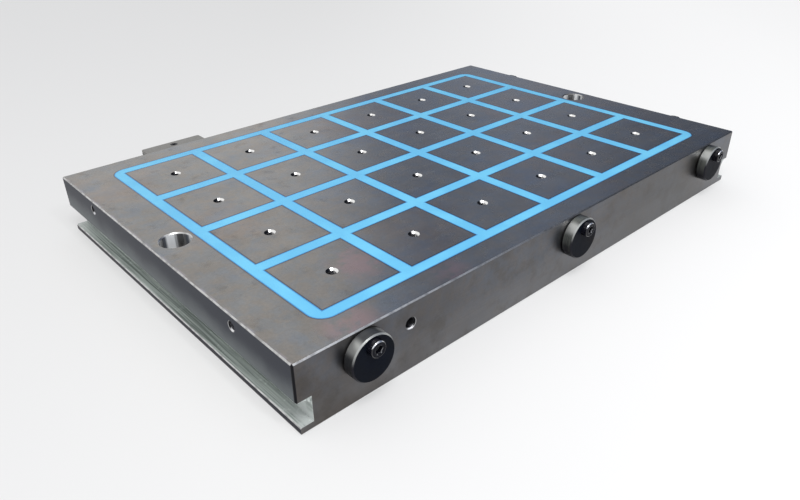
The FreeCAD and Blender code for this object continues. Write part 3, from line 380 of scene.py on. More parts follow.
def specks_group():
    """Scattered flecks: small cells of a Voronoi pattern, kept where each cell's own chance allows."""
    tree, start, end = new_group(
        "specks", (("Place", "Vector", None), ("Scale", "Float", 90.0), ("Size", "Float", 0.1),
                   ("Chance", "Float", 0.82)), (("Mask", "Float"),))
    cell = node(tree, "TexVoronoi", {"feature": "F1"}, Vector=start["Place"], Scale=start["Scale"])
    near = calc(tree, "LESS_THAN", cell.outputs["Distance"], start["Size"])
    chance = node(tree, "SeparateColor", None, Color=cell.outputs["Color"]).outputs[0]
    tree.links.new(product(tree, near, calc(tree, "GREATER_THAN", chance, start["Chance"])), end["Mask"])
    return tree


def resin_outline_group():
    """Distances in metres from the resin's borders: out of the nearest pole's edge, which is negative on
    the pole, and out of the resin's rounded outline, which is negative inside it."""
    tree, start, end = new_group("resin_outline", (("Place", "Vector", None),),
                                 (("From Pole", "Float"), ("From Outline", "Float")))
    axes = parts_of(tree, start["Place"])
    gaps, reaches = [], []
    for axis, count, half in zip("XY", (POLE_COLUMNS, POLE_ROWS), HALF_RESIN):
        shifted = calc(tree, "ADD", axes[axis], POLE_PITCH * count / 2)
        cell = calc(tree, "SUBTRACT", calc(tree, "FLOORED_MODULO", shifted, POLE_PITCH), POLE_PITCH / 2)
        gaps.append(calc(tree, "SUBTRACT", calc(tree, "ABSOLUTE", cell), POLE_SIDE / 2))
        reach = calc(tree, "SUBTRACT", calc(tree, "ABSOLUTE", axes[axis]), half - RESIN_ROUND)
        reaches.append(calc(tree, "MAXIMUM", reach, 0.0))
    squares = calc(tree, "ADD", product(tree, reaches[0], reaches[0]), product(tree, reaches[1], reaches[1]))
    tree.links.new(calc(tree, "MAXIMUM", gaps[0], gaps[1]), end["From Pole"])
    tree.links.new(calc(tree, "SUBTRACT", calc(tree, "SQRT", squares), RESIN_ROUND), end["From Outline"])
    return tree


def bores_group():
    """Masks of the plate's bored holes: the two mounting holes, and the small tapped holes of its sides."""
    tree, start, end = new_group("bores", (("Place", "Vector", None),),
                                 (("Mounting", "Float"), ("Tapped", "Float")))
    axes = parts_of(tree, start["Place"])
    across = calc(tree, "ABSOLUTE", axes["X"])
    along = calc(tree, "ABSOLUTE", axes["Y"])
    stop = product(tree, hole_mask(tree, (along, axes["Z"]), (STOP_HOLE_Y, STOP_HOLE_Z), STOP_HOLE_REACH),
                   calc(tree, "LESS_THAN", axes["X"], HOLE_ZONE - HALF_LENGTH))
    turned_x = product(tree, axes["X"], calc(tree, "SIGN", axes["Y"]))
    eye = product(tree, hole_mask(tree, (turned_x, axes["Z"]), (EYE_HOLE_X, EYE_HOLE_Z), EYE_HOLE_REACH),
                  calc(tree, "GREATER_THAN", along, HALF_WIDTH - HOLE_ZONE))
    tree.links.new(hole_mask(tree, (across, along), (MOUNTING_HOLE_X, 0.0), MOUNTING_REACH), end["Mounting"])
    tree.links.new(calc(tree, "MAXIMUM", stop, eye), end["Tapped"])
    return tree


def hole_mask(tree, values, centre, radius):
    """One inside a circle round a centre in the plane of two values."""
    gaps = [calc(tree, "SUBTRACT", value, middle) for value, middle in zip(values, centre)]
    squares = calc(tree, "ADD", product(tree, gaps[0], gaps[0]), product(tree, gaps[1], gaps[1]))
    return calc(tree, "LESS_THAN", squares, radius ** 2)


def blush_group():
    """Faint pinkish-red patches: noise kept inside three round areas near the plate's front left corner."""
    tree, start, end = new_group("blush", (("Place", "Vector", None),), (("Mask", "Float"),))
    area = 0.0
    for centre, reach in BLUSHES:
        apart = vector_math(tree, "DISTANCE", start["Place"], centre)
        area = calc(tree, "MAXIMUM", area, ramp(tree, apart, reach, reach * 0.25))
    patches = ramp(tree, noise(tree, start["Place"], 60.0, 4.0, 0.6), 0.38, 0.62)
    tree.links.new(product(tree, area, patches), end["Mask"])
    return tree


def painted_light_side_group():
    """Masks of painted light on a hole's walls: painted shade where a wall faces BRIGHT_SIDE, a painted highlight
    where it faces away.
    """
    tree, _, end = new_group("painted_light_side", (), (("Left", "Float"), ("Right", "Float")))
    turn = vector_math(tree, "DOT_PRODUCT", own_normal(tree, "Normal"), BRIGHT_SIDE)
    tree.links.new(ramp(tree, turn, 0.15, 0.40), end["Left"])
    tree.links.new(ramp(tree, turn, -0.1, -0.45), end["Right"])
    return tree


def grain_group():
    """Grain of a plain finish: a wide and a fine noise vary its colour, others its gloss and relief."""
    tree, start, end = new_group(
        "grain",
        (("Place", "Vector", None), ("Color", "Color", (0.1, 0.1, 0.1, 1)), ("Scale", "Float", 300.0),
         ("Vary", "Float", 0.25), ("Rough", "Float", 0.4)),
        (("Color", "Color"), ("Roughness", "Float"), ("Height", "Float")))
    wide = noise(tree, start["Place"], calc(tree, "MULTIPLY", start["Scale"], 0.15), 3.0)
    fine = noise(tree, start["Place"], start["Scale"], 3.0)
    half_vary = calc(tree, "MULTIPLY", start["Vary"], 0.5)
    shade = calc(tree, "MULTIPLY_ADD", wide, start["Vary"], away(tree, half_vary))
    shade = calc(tree, "MULTIPLY_ADD", fine, half_vary, shade)
    tree.links.new(blend(tree, 1.0, start["Color"], grey(tree, shade), "MULTIPLY"), end["Color"])
    gloss = noise(tree, start["Place"], start["Scale"], 2.0)
    tree.links.new(calc(tree, "MULTIPLY_ADD", gloss, 0.15, start["Rough"]), end["Roughness"])
    finer = calc(tree, "MULTIPLY", start["Scale"], 3.0)
    tree.links.new(noise(tree, start["Place"], finer, 3.0), end["Height"])
    return tree


def ground_top_group():
    """Ground working face of poles and plate: marks along x over handled steel, pinkish-red patches and flecks."""
    tree, start, end = new_group("ground_top", (("Place", "Vector", None),),
                                 (("Color", "Color"), ("Roughness", "Float"), ("Marks", "Float")))
    place = start["Place"]
    marks = use_group(tree, TOOL_MARKS, Place=place, Stretch=(5, 1400, 1400), Wave_Stretch=(1.5, 120, 120))
    patina = use_group(tree, PATINA, Place=place, Steel=TOP_STEEL, Warm=TOP_WARM, Cool=TOP_COOL, Amount=0.7)
    colour = blend(tree, product(tree, marks["Marks"], 0.16), patina["Color"], TOP_MARK)
    blush = use_group(tree, BLUSH, Place=place)["Mask"]
    colour = blend(tree, product(tree, blush, 0.75), colour, PINK_TINT)
    flecks = use_group(tree, SPECKS, Place=place, Scale=70.0, Size=0.03, Chance=0.9)["Mask"]
    colour = blend(tree, product(tree, flecks, 0.6), colour, TOP_FLECK)
    rough = calc(tree, "MULTIPLY_ADD", marks["Waves"], 0.10, 0.19)
    rough = calc(tree, "MULTIPLY_ADD", patina["Smudges"], 0.12, rough)
    tree.links.new(colour, end["Color"])
    tree.links.new(rough, end["Roughness"])
    tree.links.new(marks["Marks"], end["Marks"])
    return tree


TOOL_MARKS = tool_marks_group()
PATINA = patina_group()
FACING = facing_group()
SPECKS = specks_group()
RESIN_OUTLINE = resin_outline_group()
BORES = bores_group()
BLUSH = blush_group()
PAINTED_LIGHT_SIDE = painted_light_side_group()
GRAIN = grain_group()
GROUND_TOP = ground_top_group()


def new_material(name):
    """A material with one Principled shader; returned with its tree, the shader and Object coordinates."""
    material = bpy.data.materials.new(name)
    material.use_nodes = True
    tree = material.node_tree
    shader = tree.nodes["Principled BSDF"]
    place = node(tree, "TexCoord").outputs["Object"]
    return material, tree, shader, place


def bump(tree, height, distance, strength):
    return node(tree, "Bump", None, Height=height, Distance=distance, Strength=strength).outputs["Normal"]


def thread_steel():
    """Threads of the tapped holes: painted shade, with a painted highlight on the walls that face away from
    BRIGHT_SIDE.
    """
    material, tree, shader, place = new_material("hole_thread")
    painted_highlight = use_group(tree, PAINTED_LIGHT_SIDE)["Right"]
    # Painted highlight over painted shade, by the way the thread faces
    tree.links.new(blend(tree, painted_highlight, HOLE_SHADE, HOLE_HIGHLIGHT), shader.inputs["Base Color"])
    rough = calc(tree, "MULTIPLY_ADD", noise(tree, place, 900.0), 0.15, 0.22)
    tree.links.new(rough, shader.inputs["Roughness"])
    shader.inputs["Metallic"].default_value = 0.8
    return material


def ground_steel():
    """Pole steel: ground top with marks along x, a dark line at its edge, and a hole painted with a highlight on
    one side and shade on the other.
    """
    material, tree, shader, place = new_material("ground_pole")
    facing = use_group(tree, FACING)
    top = use_group(tree, GROUND_TOP, Place=place)
    edge = use_group(tree, RESIN_OUTLINE, Place=place)["From Pole"]
    colour = blend(tree, product(tree, ramp(tree, edge, -1.6 * MM, -0.2 * MM), 0.75), top["Color"], RIM_LINE)
    painted_light = use_group(tree, PAINTED_LIGHT_SIDE)
    # Painted shade and painted highlight on the hole's cone and bore, by the way each wall faces
    cone = blend(tree, painted_light["Left"], HOLE_HIGHLIGHT, HOLE_SHADE)
    bore = blend(tree, painted_light["Right"], HOLE_SHADE, HOLE_HIGHLIGHT)
    colour = blend(tree, facing["Level"], blend(tree, facing["Slant"], bore, cone), colour)
    tree.links.new(colour, shader.inputs["Base Color"])
    tree.links.new(top["Roughness"], shader.inputs["Roughness"])
    shader.inputs["Metallic"].default_value = 1.0
    tree.links.new(bump(tree, top["Marks"], 0.4 * MM, 0.05), shader.inputs["Normal"])
    return material


def side_colour(tree, place, height):
    """Milled sides: paler towards the table, a painted reflection of it, brown at the left end, darker right of
    the middle, mottled.
    """
    x = parts_of(tree, place)["X"]
    side = use_group(tree, PATINA, Place=place, Steel=SIDE_STEEL, Warm=SIDE_WARM, Cool=SIDE_COOL, Amount=0.8)
    # Painted reflection: the sides painted paler towards the floor
    painted_light = product(tree, ramp(tree, height, 45 * MM, 4 * MM), 0.5)
    colour = blend(tree, painted_light, side["Color"], SIDE_FLOOR_REFLECTION)
    brown = product(tree, ramp(tree, x, -0.08, -0.28), ramp(tree, noise(tree, place, 20.0, 3.0), 0.25, 0.6))
    colour = blend(tree, product(tree, brown, 0.65), colour, SIDE_BROWN)
    # A band of the sides darker right of the middle
    darker_band = product(tree, ramp(tree, x, 0.00, 0.12), ramp(tree, x, 0.27, 0.21), 0.40)
    colour = blend(tree, darker_band, colour, SIDE_DARKER)
    mottle = ramp(tree, noise(tree, place, 48.0, 5.0, 0.65), 0.48, 0.66)
    return blend(tree, product(tree, mottle, 0.28), colour, SIDE_MOTTLE)


def top_colour(tree, place, ground):
    """Ground face of the plate: a dark line round the resin, and a worn rim along both ends, painted bright partly
    as a highlight.
    """
    axes = parts_of(tree, place)
    across = calc(tree, "ABSOLUTE", axes["X"])
    outline = use_group(tree, RESIN_OUTLINE, Place=place)["From Outline"]
    line = product(tree, ramp(tree, outline, 1.5 * MM, 0.2 * MM), inside(tree, axes["Z"], TOP, 1.0, 0.2))
    colour = blend(tree, product(tree, line, 0.6), ground, RIM_LINE)
    # Worn rim along the ends, painted bright partly as a highlight
    wear_and_highlight = product(tree, inside(tree, across, HALF_LENGTH, 3.2, 0.5),
                   ramp(tree, noise(tree, place, 90.0, 4.0), 0.4, 0.6))
    return blend(tree, product(tree, wear_and_highlight, 0.7), colour, TOP_WEAR_AND_HIGHLIGHT)


def groove_mask(tree, place):
    """One on the clamp grooves' walls, roof and foot."""
    axes = parts_of(tree, place)
    across = calc(tree, "ABSOLUTE", axes["X"])
    return product(tree, inside(tree, axes["Z"], GROOVE_ROOF, -0.6, -0.1),
                   inside(tree, axes["Z"], FOOT_TOP, 0.6, 0.1),
                   inside(tree, across, GROOVE_WALL, 0.5, 0.1),
                   inside(tree, across, HALF_LENGTH, 0.5, 1.5))


def scraped_colour(tree, place):
    """Clamp grooves scraped clean in long streaks, and pale all over towards the corners."""
    along = calc(tree, "ABSOLUTE", parts_of(tree, place)["Y"])
    streak = noise(tree, scaled(tree, place, (700.0, 9.0, 300.0)), 1.0, 3.0, 0.6)
    colour = blend(tree, ramp(tree, streak, 0.3, 0.7), SCRAPED_DARK, SCRAPED_PALE)
    corners = product(tree, inside(tree, along, HALF_WIDTH, 50.0, 5.0),
                      ramp(tree, noise(tree, place, 70.0, 3.0), 0.35, 0.6))
    return blend(tree, corners, colour, SCRAPED_END)


def plate_steel():
    """The plate: ground on top, milled and darker on its sides, brighter where its edges are broken, from wear and
    a painted highlight.

    The ends are painted darker towards the working face and near black along the foot, a painted shade; the clamp
    grooves are scraped clean; and the long edges' painted highlight fades out towards the right.
    """
    material, tree, shader, place = new_material("plate_steel")
    facing = use_group(tree, FACING)
    axes = parts_of(tree, place)
    across = calc(tree, "ABSOLUTE", axes["X"])
    along = calc(tree, "ABSOLUTE", axes["Y"])
    top = use_group(tree, GROUND_TOP, Place=place)
    milled = use_group(tree, TOOL_MARKS, Place=place, Stretch=(8, 8, 700), Wave_Stretch=(2, 2, 60))

    unevenness = calc(tree, "SUBTRACT", noise(tree, place, 30.0, 3.0), 0.5)
    height = calc(tree, "MULTIPLY_ADD", unevenness, 16 * MM, axes["Z"])
    # Painted shade: the end faces painted darker towards the working face
    end_shade = ramp(tree, height, 28 * MM, 50 * MM)
    end_face = blend(tree, end_shade, END_STEEL, END_TOP_SHADE)
    # Painted shade: the end faces near black low down, along the foot
    end_face = blend(tree, ramp(tree, height, 12 * MM, 7 * MM), end_face, FOOT_SHADE)
    colour = blend(tree, facing["End"], side_colour(tree, place, height), end_face)
    colour = blend(tree, product(tree, milled["Marks"], 0.22), colour, SIDE_MARK)
    colour = blend(tree, facing["Level"], colour, top_colour(tree, place, top["Color"]))

    # Broken edges: wear, and a painted highlight
    wear_and_highlight = product(tree, facing["Slant"], ramp(tree, noise(tree, place, 160.0, 4.0), 0.3, 0.6, 0.5, 1.0))
    colour = blend(tree, wear_and_highlight, colour, EDGE_BRIGHT)
    # Painted shade: the long edges' painted highlight fades out towards +x
    highlight_falloff = product(tree, facing["Long"], ramp(tree, axes["X"], -0.22, 0.06), 0.85)
    colour = blend(tree, highlight_falloff, colour, EDGE_SHADE)
    # The upright corners darkened to near black
    upright = product(tree, inside(tree, across, HALF_LENGTH, 1.6, 1.0),
                      inside(tree, along, HALF_WIDTH, 2.2, 1.4), away(tree, facing["Level"]))
    colour = blend(tree, upright, colour, NEAR_BLACK)
    groove = groove_mask(tree, place)
    colour = blend(tree, groove, colour, scraped_colour(tree, place))

    bores = use_group(tree, BORES, Place=place)
    # Painted reflections: upright pale and dark columns round the mounting holes' walls
    columns = noise(tree, scaled(tree, place, (110.0, 110.0, 4.0)), 1.0, 2.0)
    bored = product(tree, bores["Mounting"], away(tree, facing["Level"]), away(tree, facing["Slant"]),
                    inside(tree, axes["Z"], GROOVE_ROOF, -2.0, -6.0))
    colour = blend(tree, bored, colour, blend(tree, ramp(tree, columns, 0.42, 0.60), BORE_DARK_REFLECTION, BORE_PALE_REFLECTION))
    upward = parts_of(tree, own_normal(tree, "Normal"))["Z"]
    flush = calc(tree, "MAXIMUM", inside(tree, across, HALF_LENGTH, 0.4, 0.05),
                 inside(tree, along, HALF_WIDTH, 0.4, 0.05))
    tapped = product(tree, bores["Tapped"], away(tree, flush))
    # Painted light on the tapped holes' walls: a highlight where they face up, near-black shade elsewhere
    thread = blend(tree, ramp(tree, upward, 0.45, 0.75), NEAR_BLACK, TAPPED_HIGHLIGHT)
    colour = blend(tree, tapped, colour, thread)
    tree.links.new(colour, shader.inputs["Base Color"])

    rough = calc(tree, "MULTIPLY_ADD", milled["Waves"], 0.14, 0.28)
    rough = mix_values(tree, facing["Level"], rough, top["Roughness"])
    tree.links.new(rough, shader.inputs["Roughness"])
    dull = upright
    for share in (product(tree, groove, 0.8), product(tree, bored, 0.8), product(tree, tapped, 0.9),
                  product(tree, facing["End"], mix_values(tree, end_shade, 0.75, 1.0))):
        dull = calc(tree, "MAXIMUM", dull, share)
    tree.links.new(away(tree, dull), shader.inputs["Metallic"])
    shader.inputs["Specular IOR Level"].default_value = 0.04
    relief = calc(tree, "ADD", top["Marks"], milled["Marks"])
    tree.links.new(bump(tree, relief, 0.4 * MM, 0.06), shader.inputs["Normal"])
    return material


def blue_resin():
    """Poured resin: blue, cloudy, darker where it meets steel, with fine pits."""
    material, tree, shader, place = new_material("blue_resin")
    outline = use_group(tree, RESIN_OUTLINE, Place=place)
    edge = calc(tree, "MINIMUM", outline["From Pole"], calc(tree, "MULTIPLY", outline["From Outline"], -1.0))
    rim = ramp(tree, edge, 1.4 * MM, 0.2 * MM)
    cloud = noise(tree, place, 25.0, 3.0)
    colour = blend(tree, ramp(tree, cloud, 0.35, 0.7), RESIN_DEEP, RESIN_PALE)
    colour = blend(tree, product(tree, rim, 0.8), colour, RESIN_RIM)
    pits = use_group(tree, SPECKS, Place=place, Scale=260.0, Size=0.12, Chance=0.82)["Mask"]
    colour = blend(tree, product(tree, pits, 0.25), colour, RESIN_PIT)
    tree.links.new(colour, shader.inputs["Base Color"])
    rough = calc(tree, "MULTIPLY_ADD", noise(tree, place, 180.0), 0.2, 0.36)
    tree.links.new(rough, shader.inputs["Roughness"])
    shader.inputs["Specular IOR Level"].default_value = 0.3
    height = calc(tree, "SUBTRACT", noise(tree, place, 700.0, 3.0), product(tree, pits, 1.5))
    tree.links.new(bump(tree, height, 0.3 * MM, 0.15), shader.inputs["Normal"])
    return material


def black_oxide():
    """Blackened screws: dull flats, glossy rounded edges, and a painted glint: the stop screws' rims painted
    bright bare metal on top.
    """
    material, tree, shader, place = new_material("black_oxide_screw")
    patina = use_group(tree, PATINA, Place=place, Steel=SCREW_BLACK, Warm=SCREW_WARM, Cool=SCREW_COOL,
                       Amount=0.7)
    rub = ramp(tree, noise(tree, place, 700.0, 4.0), 0.58, 0.75)
    colour = blend(tree, product(tree, rub, 0.3), patina["Color"], SCREW_RUBBED)
    gloss = use_group(tree, FACING)["Slant"]
    axes = parts_of(tree, place)
    past_front = calc(tree, "SUBTRACT", float(SCREWS_LOW[1]) + HEAD_ROUND * MM, axes["Y"])
    past_end = calc(tree, "SUBTRACT", axes["X"], float(SCREWS_HIGH[0]) - HEAD_ROUND * MM)
    rounded = ramp(tree, calc(tree, "MAXIMUM", past_front, past_end), 0.0, 0.2 * MM)
    upward = parts_of(tree, own_normal(tree, "Normal"))["Z"]
    # Painted glint on the upward-facing rounded rims of the stop screws' heads
    painted_glint = product(tree, rounded, ramp(tree, upward, 0.40, 0.60))
    tree.links.new(blend(tree, painted_glint, colour, SCREW_GLINT), shader.inputs["Base Color"])
    tree.links.new(painted_glint, shader.inputs["Metallic"])
    grain = calc(tree, "MULTIPLY_ADD", noise(tree, place, 300.0, 3.0), 0.12, 0.20)
    tree.links.new(mix_values(tree, gloss, grain, 0.11), shader.inputs["Roughness"])
    shader.inputs["Specular IOR Level"].default_value = 0.06
    tree.links.new(gloss, shader.inputs["Coat Weight"])
    shader.inputs["Coat Roughness"].default_value = 0.11
    tree.links.new(bump(tree, noise(tree, place, 1500.0, 3.0), 0.2 * MM, 0.08), shader.inputs["Normal"])
    return material


def stop_steel(name, outward):
    """Stop disc: blackened flat faces and a turned rim with marks round it, oil patches, and the whole rim darker
    on the left one.

    The rim is painted darker underneath, a painted shade with some dirt, and its broken edges have a painted
    highlight towards the top and painted shade elsewhere.
    """
    material, tree, shader, place = new_material(name)
    parts = parts_of(tree, own_normal(tree, "True Normal"))
    flat = ramp(tree, calc(tree, "ABSOLUTE", parts[outward]), 0.80, 0.95)
    patina = use_group(tree, PATINA, Place=place, Steel=DISC_BLACK, Warm=DISC_WARM, Cool=DISC_COOL,
                       Amount=0.7)
    stretch = tuple(2600.0 if axis == outward else 20.0 for axis in "XYZ")
    lines = noise(tree, scaled(tree, place, stretch), 1.0, 2.0)
    rim = blend(tree, ramp(tree, lines, 0.3, 0.7), DISC_TURNED_DARK, DISC_TURNED_PALE)
    # Oil patches, and the left disc's whole rim darkened
    oil = calc(tree, "MAXIMUM", ramp(tree, noise(tree, place, 60.0, 3.0), 0.50, 0.66),
               ramp(tree, parts_of(tree, place)["X"], -0.19, -0.21))
    rim = blend(tree, product(tree, oil, 0.7), rim, DISC_OIL)
    # Painted shade, with some dirt: the rim darker where it faces down
    under = ramp(tree, parts["Z"], 0.35, -0.55)
    rim = blend(tree, product(tree, under, 0.85), rim, DISC_UNDERSIDE_SHADE)
    # Painted highlight on the broken edges that face up, painted shade on the others
    edge = blend(tree, ramp(tree, parts["Z"], 0.05, 0.5), DISC_EDGE_SHADE, DISC_EDGE_HIGHLIGHT)
    rim = blend(tree, use_group(tree, FACING)["Slant"], rim, edge)
    tree.links.new(blend(tree, flat, rim, patina["Color"]), shader.inputs["Base Color"])
    flat_rough = calc(tree, "MULTIPLY_ADD", noise(tree, place, 240.0), 0.2, 0.34)
    tree.links.new(mix_values(tree, flat, 0.36, flat_rough), shader.inputs["Roughness"])
    tree.links.new(mix_values(tree, flat, 0.75, 0.0), shader.inputs["Metallic"])
    shader.inputs["Specular IOR Level"].default_value = 0.03
    tree.links.new(bump(tree, lines, 0.2 * MM, 0.12), shader.inputs["Normal"])
    return material


def simple_finish(name, colour, rough, metallic=0.0, grain=300.0, depth=0.1, vary=0.25):
    """A plain finish with its own colour, gloss and grain."""
    material, tree, shader, place = new_material(name)
    finish = use_group(tree, GRAIN, Place=place, Color=colour, Scale=grain, Vary=vary, Rough=rough)
    tree.links.new(finish["Color"], shader.inputs["Base Color"])
    tree.links.new(finish["Roughness"], shader.inputs["Roughness"])
    shader.inputs["Metallic"].default_value = metallic
    tree.links.new(bump(tree, finish["Height"], 0.3 * MM, depth), shader.inputs["Normal"])
    return material


def dress(names, material):
    """Give CAD nodes a material on every slot."""
    for name in names:
        item = frame["nodes"][name]
        if not item.material_slots:
            item.data.materials.append(material)
        for slot in item.material_slots:
            slot.material = material


def named(prefix):
    """Names of the CAD nodes that start with a prefix."""
    return [name for name in frame["nodes"] if name.startswith(prefix)]


def finish_cad_nodes():
    dress(named("pole_row"), ground_steel())
    dress(["chuck_body"], plate_steel())
    dress(["top_resin"], blue_resin())
    dress(named("stop_front"), stop_steel("stop_front_steel", "Y"))
    dress(named("stop_end"), stop_steel("stop_end_steel", "X"))
    dress(["stop_screws", "pole_screws", "junction_box_screws", "lid_screw"], BLACK_SCREW)
    dress(["inlet_shell"], INLET_METAL)
    dress(["junction_box", "junction_box_lid"],
          simple_finish("box_paint", (0.200, 0.195, 0.185, 1), 0.35, metallic=0.6, grain=500.0, depth=0.2))
    dress(["box_seal", "lid_gasket"],
          simple_finish("seal_rubber", (0.03, 0.03, 0.03, 1), 0.6, grain=800.0, depth=0.3))
    dress(["lead_harness", "inlet_leads"],
          simple_finish("lead_jacket", (0.03, 0.03, 0.032, 1), 0.45, grain=600.0))
    dress(named("reversible_magnets"),
          simple_finish("cast_magnet", (0.16, 0.155, 0.15, 1), 0.55, metallic=0.9, grain=350.0, depth=0.5,
                        vary=0.4))
    dress(["magnets_between_columns", "magnets_between_rows", "border_magnets"],
          simple_finish("nickel_plate", (0.62, 0.60, 0.55, 1), 0.22, metallic=1.0, grain=200.0, depth=0.05,
                        vary=0.1))
    dress(named("coil_row"),
          simple_finish("enamelled_copper", (0.55, 0.20, 0.08, 1), 0.3, metallic=0.9, grain=250.0, depth=0.2))
    dress(["coil_potting"],
          simple_finish("potting", (0.05, 0.055, 0.06, 1), 0.4, grain=120.0, depth=0.15))
    dress(["terminal_block", "inlet_insulator"],
          simple_finish("moulded_black", (0.03, 0.03, 0.03, 1), 0.4, grain=700.0, depth=0.15))
    dress(["inlet_pins"],
          simple_finish("pin_brass", (0.70, 0.50, 0.20, 1), 0.25, metallic=1.0, grain=900.0, depth=0.05))


# Turned pieces, in millimetres round their own z axis

def turned(profile, count, ridges, pitch):
    """Grid of points of a turned piece: a ring for each row of the profile, by equal angles.

    A row gives radius r and height z, and may add a hexagon share h, a knurl depth k and a thread depth t.
    At angle a the radius is r (1 + h (1 / cos(a mod 60 deg - 30 deg) - 1)), less k (1 - cos(ridges a)) / 2,
    plus t times a triangle wave, from 0 to 1, of z / pitch - a / 360 deg.
    """
    rows = np.array([tuple(row) + (0.0,) * (5 - len(row)) for row in profile])
    radius, height, hexagon, knurl, thread = (rows[:, [i]] for i in range(5))
    angle = np.linspace(0, 2 * np.pi, count, endpoint=False)[None, :]
    flats = 1 + hexagon * (1 / np.cos(angle % (np.pi / 3) - np.pi / 6) - 1)
    wave = 1 - np.abs(2 * ((height / pitch - angle / (2 * np.pi)) % 1) - 1)
    radii = radius * flats - knurl * (1 - np.cos(ridges * angle)) / 2 + thread * wave
    heights = np.broadcast_to(height, radii.shape)
    return np.stack((radii * np.cos(angle), radii * np.sin(angle), heights), axis=2)


def ring_faces(rings, count, closed_loop):
    """Quads between neighbouring rings of a grid, as lists of point numbers.

    A profile that runs up the outside and down the inside gives faces that point outwards. In a closed
    loop the last ring joins the first; otherwise a flat cap shuts each end.
    """
    index = np.arange(rings * count).reshape(rings, count)
    above = np.roll(index, -1, axis=0)
    quads = np.stack((index, np.roll(index, -1, axis=1), np.roll(above, -1, axis=1), above), axis=2)
    if closed_loop:
        return quads.reshape(-1, 4).tolist()
    return quads[:-1].reshape(-1, 4).tolist() + [index[0, ::-1].tolist(), index[-1].tolist()]


def axis_turn(direction):
    """Matrix whose third column is the given direction."""
    z = np.array(direction, dtype=float)
    x = np.cross((0.0, 0.0, 1.0), z) if abs(z[2]) < 0.9 else np.array((1.0, 0.0, 0.0))
    x /= np.linalg.norm(x)
    return np.column_stack((x, np.cross(z, x), z))


def add_turned(name, grid, places, body, material, closed_loop=False, sharp=35.0):
    """One object of a turned grid repeated at places, each a point in metres and the direction of its z."""
    points = grid.reshape(-1, 3) * MM
    copies = [points @ axis_turn(direction).T + np.array(place) for place, direction in places]
    single = ring_faces(grid.shape[0], grid.shape[1], closed_loop)
    starts = range(0, len(places) * len(points), len(points))
    faces = [[corner + start for corner in face] for start in starts for face in single]
    mesh = bpy.data.meshes.new(name)
    mesh.from_pydata(np.vstack(copies).tolist(), [], faces)
    mesh.polygons.foreach_set("use_smooth", np.ones(len(mesh.polygons), dtype=bool))
    mesh.set_sharp_from_angle(angle=math.radians(sharp))
    mesh.materials.append(material)
    item = bpy.data.objects.new(name, mesh)
    bpy.context.scene.collection.objects.link(item)
    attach(item, body)
    return item


def threaded_rows(radius, depth, start, end, pitch):
    """Profile rows of a thread between two heights: 6 rows a turn, with the depth fading out at both ends."""
    heights = np.linspace(start, end, int(abs(end - start) / pitch * 6) + 1)
    fade = np.clip(np.minimum(np.abs(heights - start), np.abs(heights - end)) / (0.6 * pitch), 0, 1)
    return [(radius, height, 0, 0, depth * share) for height, share in zip(heights, fade)]


def cap_screw(sizes, grip, bite, count, ridges, pitch=None):
    """Cap screw with its seat at z = 0: from the tip up the shank, over the knurled head and down into the
    hexagon socket, with edges broken by tenths. With a pitch given, the shank's lowest part has a thread."""
    head, height, key, core = sizes["head"], sizes["height"], sizes["key"], sizes["core"]
    floor = height - sizes["key_depth"]
    knurl, soft = 0.035 * head, HEAD_ROUND
    rows = [(core - 0.5, -grip - bite), (core - 0.1, -grip - bite + 0.5)]
    if pitch:
        rows += threaded_rows(core - 0.35, 0.35, -grip - bite + 0.6, -grip, pitch)
    rows += [(core, -grip), (sizes["shank"], -grip), (sizes["shank"], 0.0), (head - 0.3, 0.0), (head, 0.35),
             (head, 0.6, 0, 0.2 * knurl), (head, 0.9, 0, knurl), (head, height - soft - 0.4, 0, knurl),
             (head, height - soft - 0.1, 0, 0.2 * knurl)]
    turn = np.linspace(0, np.pi / 2, 7)
    rows += list(zip(head - soft + soft * np.cos(turn), height - soft + soft * np.sin(turn)))
    rows += [(key * 1.155 + 0.25, height), (key, height - 0.25, 1), (key, floor + 0.1, 1),
             (key - 0.1, floor, 1), (0.3 * key, floor - 0.3 * key, 1)]
    return turned(rows, count, ridges, pitch or 1.0)


def thread_liner(core, start, depth, pitch, count):
    """Thread of a tapped hole with its mouth at z = 0: a thin tube, up its outside and down its thread."""
    rows = [(core - 0.02, -depth), (core - 0.02, -start)]
    rows += threaded_rows(core - 0.05, -0.35, -start, -depth, pitch)
    return turned(rows, count, 1, pitch)


def pole_places(height, direction):
    """A point over every pole's centre at one height, with a direction."""
    columns = (np.arange(POLE_COLUMNS) - (POLE_COLUMNS - 1) / 2) * POLE_PITCH
    rows = (np.arange(POLE_ROWS) - (POLE_ROWS - 1) / 2) * POLE_PITCH
    return [((x, y, height), direction) for y in rows for x in columns]


def add_screws():
    """Knurled cap screws of the stops and poles, in place of the plain ones."""
    reach = (PLATE_LOW[1] - SCREWS_LOW[1]) / MM
    grip = reach - LARGE_SCREW["height"]
    places = [(np.array(joint["pos_m"]) + np.array(joint["axis"]) * grip * MM, joint["axis"])
              for joint in frame["joints"]]
    screw = cap_screw(LARGE_SCREW, grip, bite=13.0, count=144, ridges=36, pitch=HOLE_PITCH)
    stops = add_turned("stop_cap_screws", screw, places, "chuck", BLACK_SCREW)
    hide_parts("stop_screws")

    low, high = box_of("pole_screws")
    seat = low[2] + POLE_SCREW["height"] * MM
    grip = (POLE_LOW[2] - seat) / MM
    bite = (high[2] - POLE_LOW[2]) / MM
    screw = cap_screw(POLE_SCREW, grip, bite, count=72, ridges=24)
    poles = add_turned("pole_cap_screws", screw, pole_places(seat, (0, 0, -1)), "chuck",
                       BLACK_SCREW)
    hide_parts("pole_screws")


